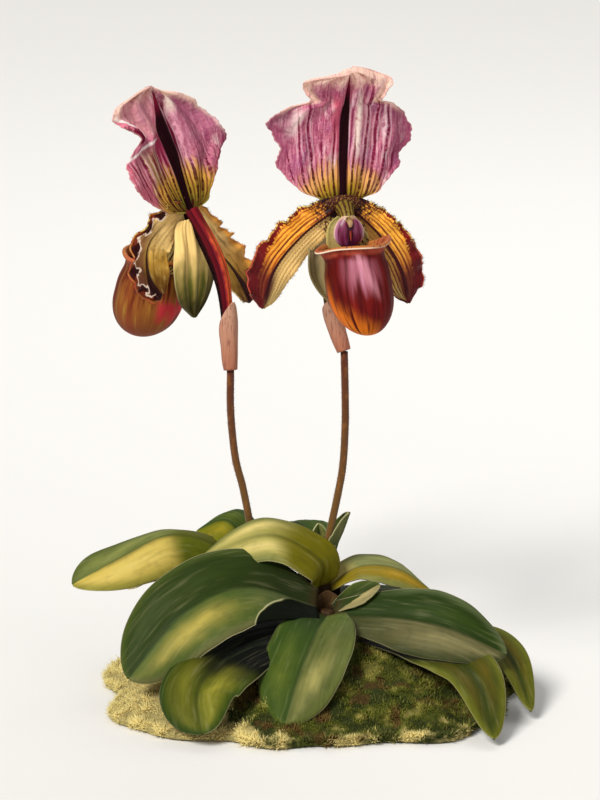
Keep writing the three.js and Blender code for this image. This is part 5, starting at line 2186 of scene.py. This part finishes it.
@dataclass(frozen=True)
class Moss:
    """The mound: a cushioned dome on a flat underside, covered with tufts."""

    half: tuple[float, float] = (92, 73)
    middle_y: float = -5
    height: float = 27
    skirt: float = 3.2
    power: float = 2.6
    tufts: int = 6500
    fringe: int = 1900

    def rim(self, angle: Array) -> Array:
        """Distance from the middle to the rim: a squarish oval with shallow lobes.

        Args:
            angle: angles round the axis, in radians.

        Returns:
            Distances, in mm.
        """
        c = np.abs(np.cos(angle)) / self.half[0]
        s = np.abs(np.sin(angle)) / self.half[1]
        lobes = 1 + 0.035 * np.sin(7 * angle + 0.8) + 0.025 * np.sin(13 * angle)
        return lobes / (c**self.power + s**self.power) ** (1 / self.power)

    def rise(self, share: Array, x: Array, y: Array) -> Array:
        """Height of the dome at a share of the way to the rim.

        Args:
            share: shares of the way from the middle to the rim.
            x: mm across from the middle.
            y: mm back from the middle.

        Returns:
            Heights, in mm.
        """
        dome = self.skirt + self.height * np.maximum(0, 1 - share * share) ** 1.35
        cushions = np.sin(x / 6.1 + 1.3) * np.cos(y / 5.3) + 0.7 * np.sin(x / 3.9 - y / 4.4)
        small = 0.5 * np.sin(x / 1.9 + 2 * np.sin(y / 3.1)) * np.cos(y / 1.7)
        return dome + (1.1 * cushions + small) * np.minimum(1, 3 * (1 - share))

    def at(self, share: Array, angle: Array) -> Array:
        """Points on the dome.

        Args:
            share: shares of the way from the middle to the rim.
            angle: angles round the axis, in radians.

        Returns:
            The points, a row each.
        """
        r = self.rim(angle) * share
        x, y = r * np.cos(angle), r * np.sin(angle)
        return np.stack([x, y + self.middle_y, self.rise(share, x, y)], 1)

    def build(self) -> None:
        """Models and dresses the mound and its tufts."""
        underside, skirt_share = 0.975, 0.06

        def shape(u: Array, v: Array) -> tuple[Array, Sequence[Array], Sequence[Array]]:
            """Bends the grid to the dome, its skirt and the underside's edge.

            Args:
                u: shares across, from -1 to 1.
                v: shares along, from 0 to 1.

            Returns:
                Places, and what the finish reads as "lay" and as "span".
            """
            angle = math.pi * u
            share = np.clip((1 - v) / (1 - skirt_share), 1e-4, 1)
            points = self.at(share, angle)
            low = v < skirt_share
            points[low, 2] *= (v / skirt_share)[low]
            points[v == 0, :2] = points[v == 0, :2] * underside
            return points, (u, v, share), (u, v, share)

        piece = bend_grid("moss_ground", 180, 90, shape)
        close_seam()
        dress(piece, (MossFinish("moss_ground", 0.9),), "moss", "moss_mound")
        self.build_tufts(0, "moss_tufts_1", self.tufts, 0.14, 1.0)
        self.build_tufts(1, "moss_tufts_2", self.tufts, 0.14, 1.0)
        self.build_tufts(2, "moss_fringe", self.fringe, 0.975, 1.3)

    def build_tufts(self, batch: int, name: str, count: int, inner: float, size: float) -> None:
        """One batch of tufts, each a few leaflets round a middle one.

        Args:
            batch: seed of the batch.
            name: the piece's name.
            count: how many tufts.
            inner: the least share of the way from the middle to the rim.
            size: factor on the tufts' size. The larger ones also lean outwards.
        """
        rng = np.random.default_rng(40 + batch)
        share = np.sqrt(rng.uniform(inner**2, 1, count))
        angle = rng.uniform(-math.pi, math.pi, count)
        roots = self.at(share, angle)
        step = 0.01
        slope = np.cross(
            self.at(share, angle + step) - self.at(share, angle - step),
            self.at(np.maximum(share - step, 0), angle) - self.at(share, angle),
        )
        lean = np.stack([np.cos(angle), np.sin(angle), np.full(count, -0.1)], 1) * 3 * (size - 1)
        upright = unit(slope) * np.sign(slope[:, 2:] + 1e-9) + (0, 0, 0.5)
        heads = upright + lean + rng.normal(0, 0.28, roots.shape)
        roots = roots - unit(heads) * 0.6
        if size > 1:
            roots[:, 2] = rng.uniform(0.4, self.skirt + 0.6, count)
        roots[:, 2] = np.maximum(roots[:, 2], 0.3)
        x, y = roots[:, 0], roots[:, 1]
        cushion = 0.5 + 0.5 * np.sin(x / 2.9 + 1.7 * np.sin(y / 4.3)) * np.cos(y / 2.6 + 1.3 * np.sin(x / 5.1))
        scale = size * rng.uniform(0.75, 1.2, count) * (0.55 + 0.9 * cushion)
        sizes = np.stack([scale, scale * rng.uniform(0.8, 1.2, count)], 1)
        piece = scatter(name, self.tuft(), roots, heads, sizes, rng.uniform(0, TAU, count), cushion)
        places = read_places(piece.data)
        places[:, 2] = np.maximum(places[:, 2], 0.0002)
        write_places(piece.data, places / MM)
        dress(piece, (MossFinish("moss_tuft", 0.8, tuft=1.0),), "moss")

    @staticmethod
    def tuft() -> bpy.types.Object:
        """A middle leaflet with five round it, spread like a star.

        Returns:
            The tuft, standing on the origin, in mm.
        """
        parts = []
        for k in range(6):
            leaflet = spike(3, 0.3 if k else 0.26, 2.6 if k else 3.0)
            leaflet.scale = (1, 0.45, 1)
            bpy.ops.object.transform_apply(scale=True)
            if k:
                tip = TAU * k / 5
                leaflet.rotation_euler = (0.85 * math.sin(tip), 0.85 * math.cos(tip), 0)
                bpy.ops.object.transform_apply(rotation=True)
            parts.append(leaflet)
        bpy.ops.object.select_all(action="DESELECT")
        for leaflet in parts:
            leaflet.select_set(True)
        bpy.context.view_layer.objects.active = parts[0]
        bpy.ops.object.join()
        return bpy.context.object


# ------------------------------------------------------------------ stage


class LampKind(Enum):
    """Blender's kinds of lamp used here."""

    AREA = "AREA"
    SUN = "SUN"


@dataclass(frozen=True)
class Lamp:
    """One soft lamp that looks at the middle of the plant.

    size is an area lamp's side in metres and a sun's spread in radians.
    """

    name: str
    kind: LampKind
    place: tuple[float, float, float]
    size: float
    power: float
    colour: tuple[float, float, float] = (1, 1, 1)

    def build(self, target: Vector) -> None:
        """Adds the lamp.

        Args:
            target: what it looks at, in metres.
        """
        data = bpy.data.lights.new(self.name, self.kind.value)
        if self.kind is LampKind.SUN:
            data.angle = self.size
        else:
            data.size = self.size
        data.energy, data.color = self.power, self.colour
        lamp = bpy.data.objects.new(self.name, data)
        lamp.location = self.place
        lamp.rotation_euler = (target - lamp.location).to_track_quat("-Z", "Y").to_euler()
        bpy.context.scene.collection.objects.link(lamp)


@dataclass(frozen=True)
class Stage:
    """The floor, the lamps, the pale surroundings and the camera."""

    target: tuple[float, float, float] = (-0.0045, 0, 0.1374)
    distance: float = 1.8
    elevation: float = 15.0
    lens: float = 180.0
    sensor: float = 36.0
    floor_side: float = 16.0
    floor_drop: float = 0.0002
    glow: float = 0.32
    lamps: tuple[Lamp, ...] = (
        Lamp("key", LampKind.SUN, (-0.7, -0.9, 1.25), 0.4, 3.3, (1, 0.98, 0.94)),
        Lamp("fill", LampKind.AREA, (0.9, -1.1, 0.5), 1.2, 3.4, (1, 0.98, 0.95)),
        Lamp("top", LampKind.AREA, (0.25, 0.9, 1.2), 0.9, 5),
    )

    def build(self) -> None:
        """Adds everything round the plant."""
        target = Vector(self.target)
        for lamp in self.lamps:
            lamp.build(target)
        bpy.ops.object.select_all(action="DESELECT")
        bpy.ops.mesh.primitive_plane_add(size=self.floor_side, location=(0, 0, -self.floor_drop))
        floor = bpy.context.object
        floor.name = "floor"
        board = Board("floor_paper")
        board.shader.inputs["Base Color"].default_value = tone(0xE4E3E1)
        board.shader.inputs["Roughness"].default_value = 0.9
        floor.data.materials.append(board.material)

        world = bpy.data.worlds.new("studio")
        world.use_nodes = True
        background = world.node_tree.nodes["Background"]
        background.inputs["Color"].default_value = (1, 0.99, 0.97, 1)
        background.inputs["Strength"].default_value = self.glow
        scene = bpy.context.scene
        scene.world = world
        scene.view_settings.view_transform = "Standard"

        data = bpy.data.cameras.new("camera")
        data.lens, data.sensor_width, data.sensor_fit = self.lens, self.sensor, "AUTO"
        camera = bpy.data.objects.new("camera", data)
        angle = math.radians(self.elevation)
        back = Vector((0, -math.cos(angle), math.sin(angle)))
        camera.location = target + back * self.distance
        camera.rotation_euler = (-back).to_track_quat("-Z", "Y").to_euler()
        scene.collection.objects.link(camera)
        scene.camera = camera


def main() -> None:
    """Builds the plant from the moss up, then the stage."""
    logging.basicConfig(level=logging.INFO, format="%(name)s: %(message)s")
    Moss().build()
    for crown in CROWNS:
        crown.build()
    for number, leaf in enumerate(LEAVES):
        leaf.build(seed=1.7 * number)
    for stalk in STALKS:
        stalk.build()
    Stage().build()


if __name__ == "__main__":
    main()
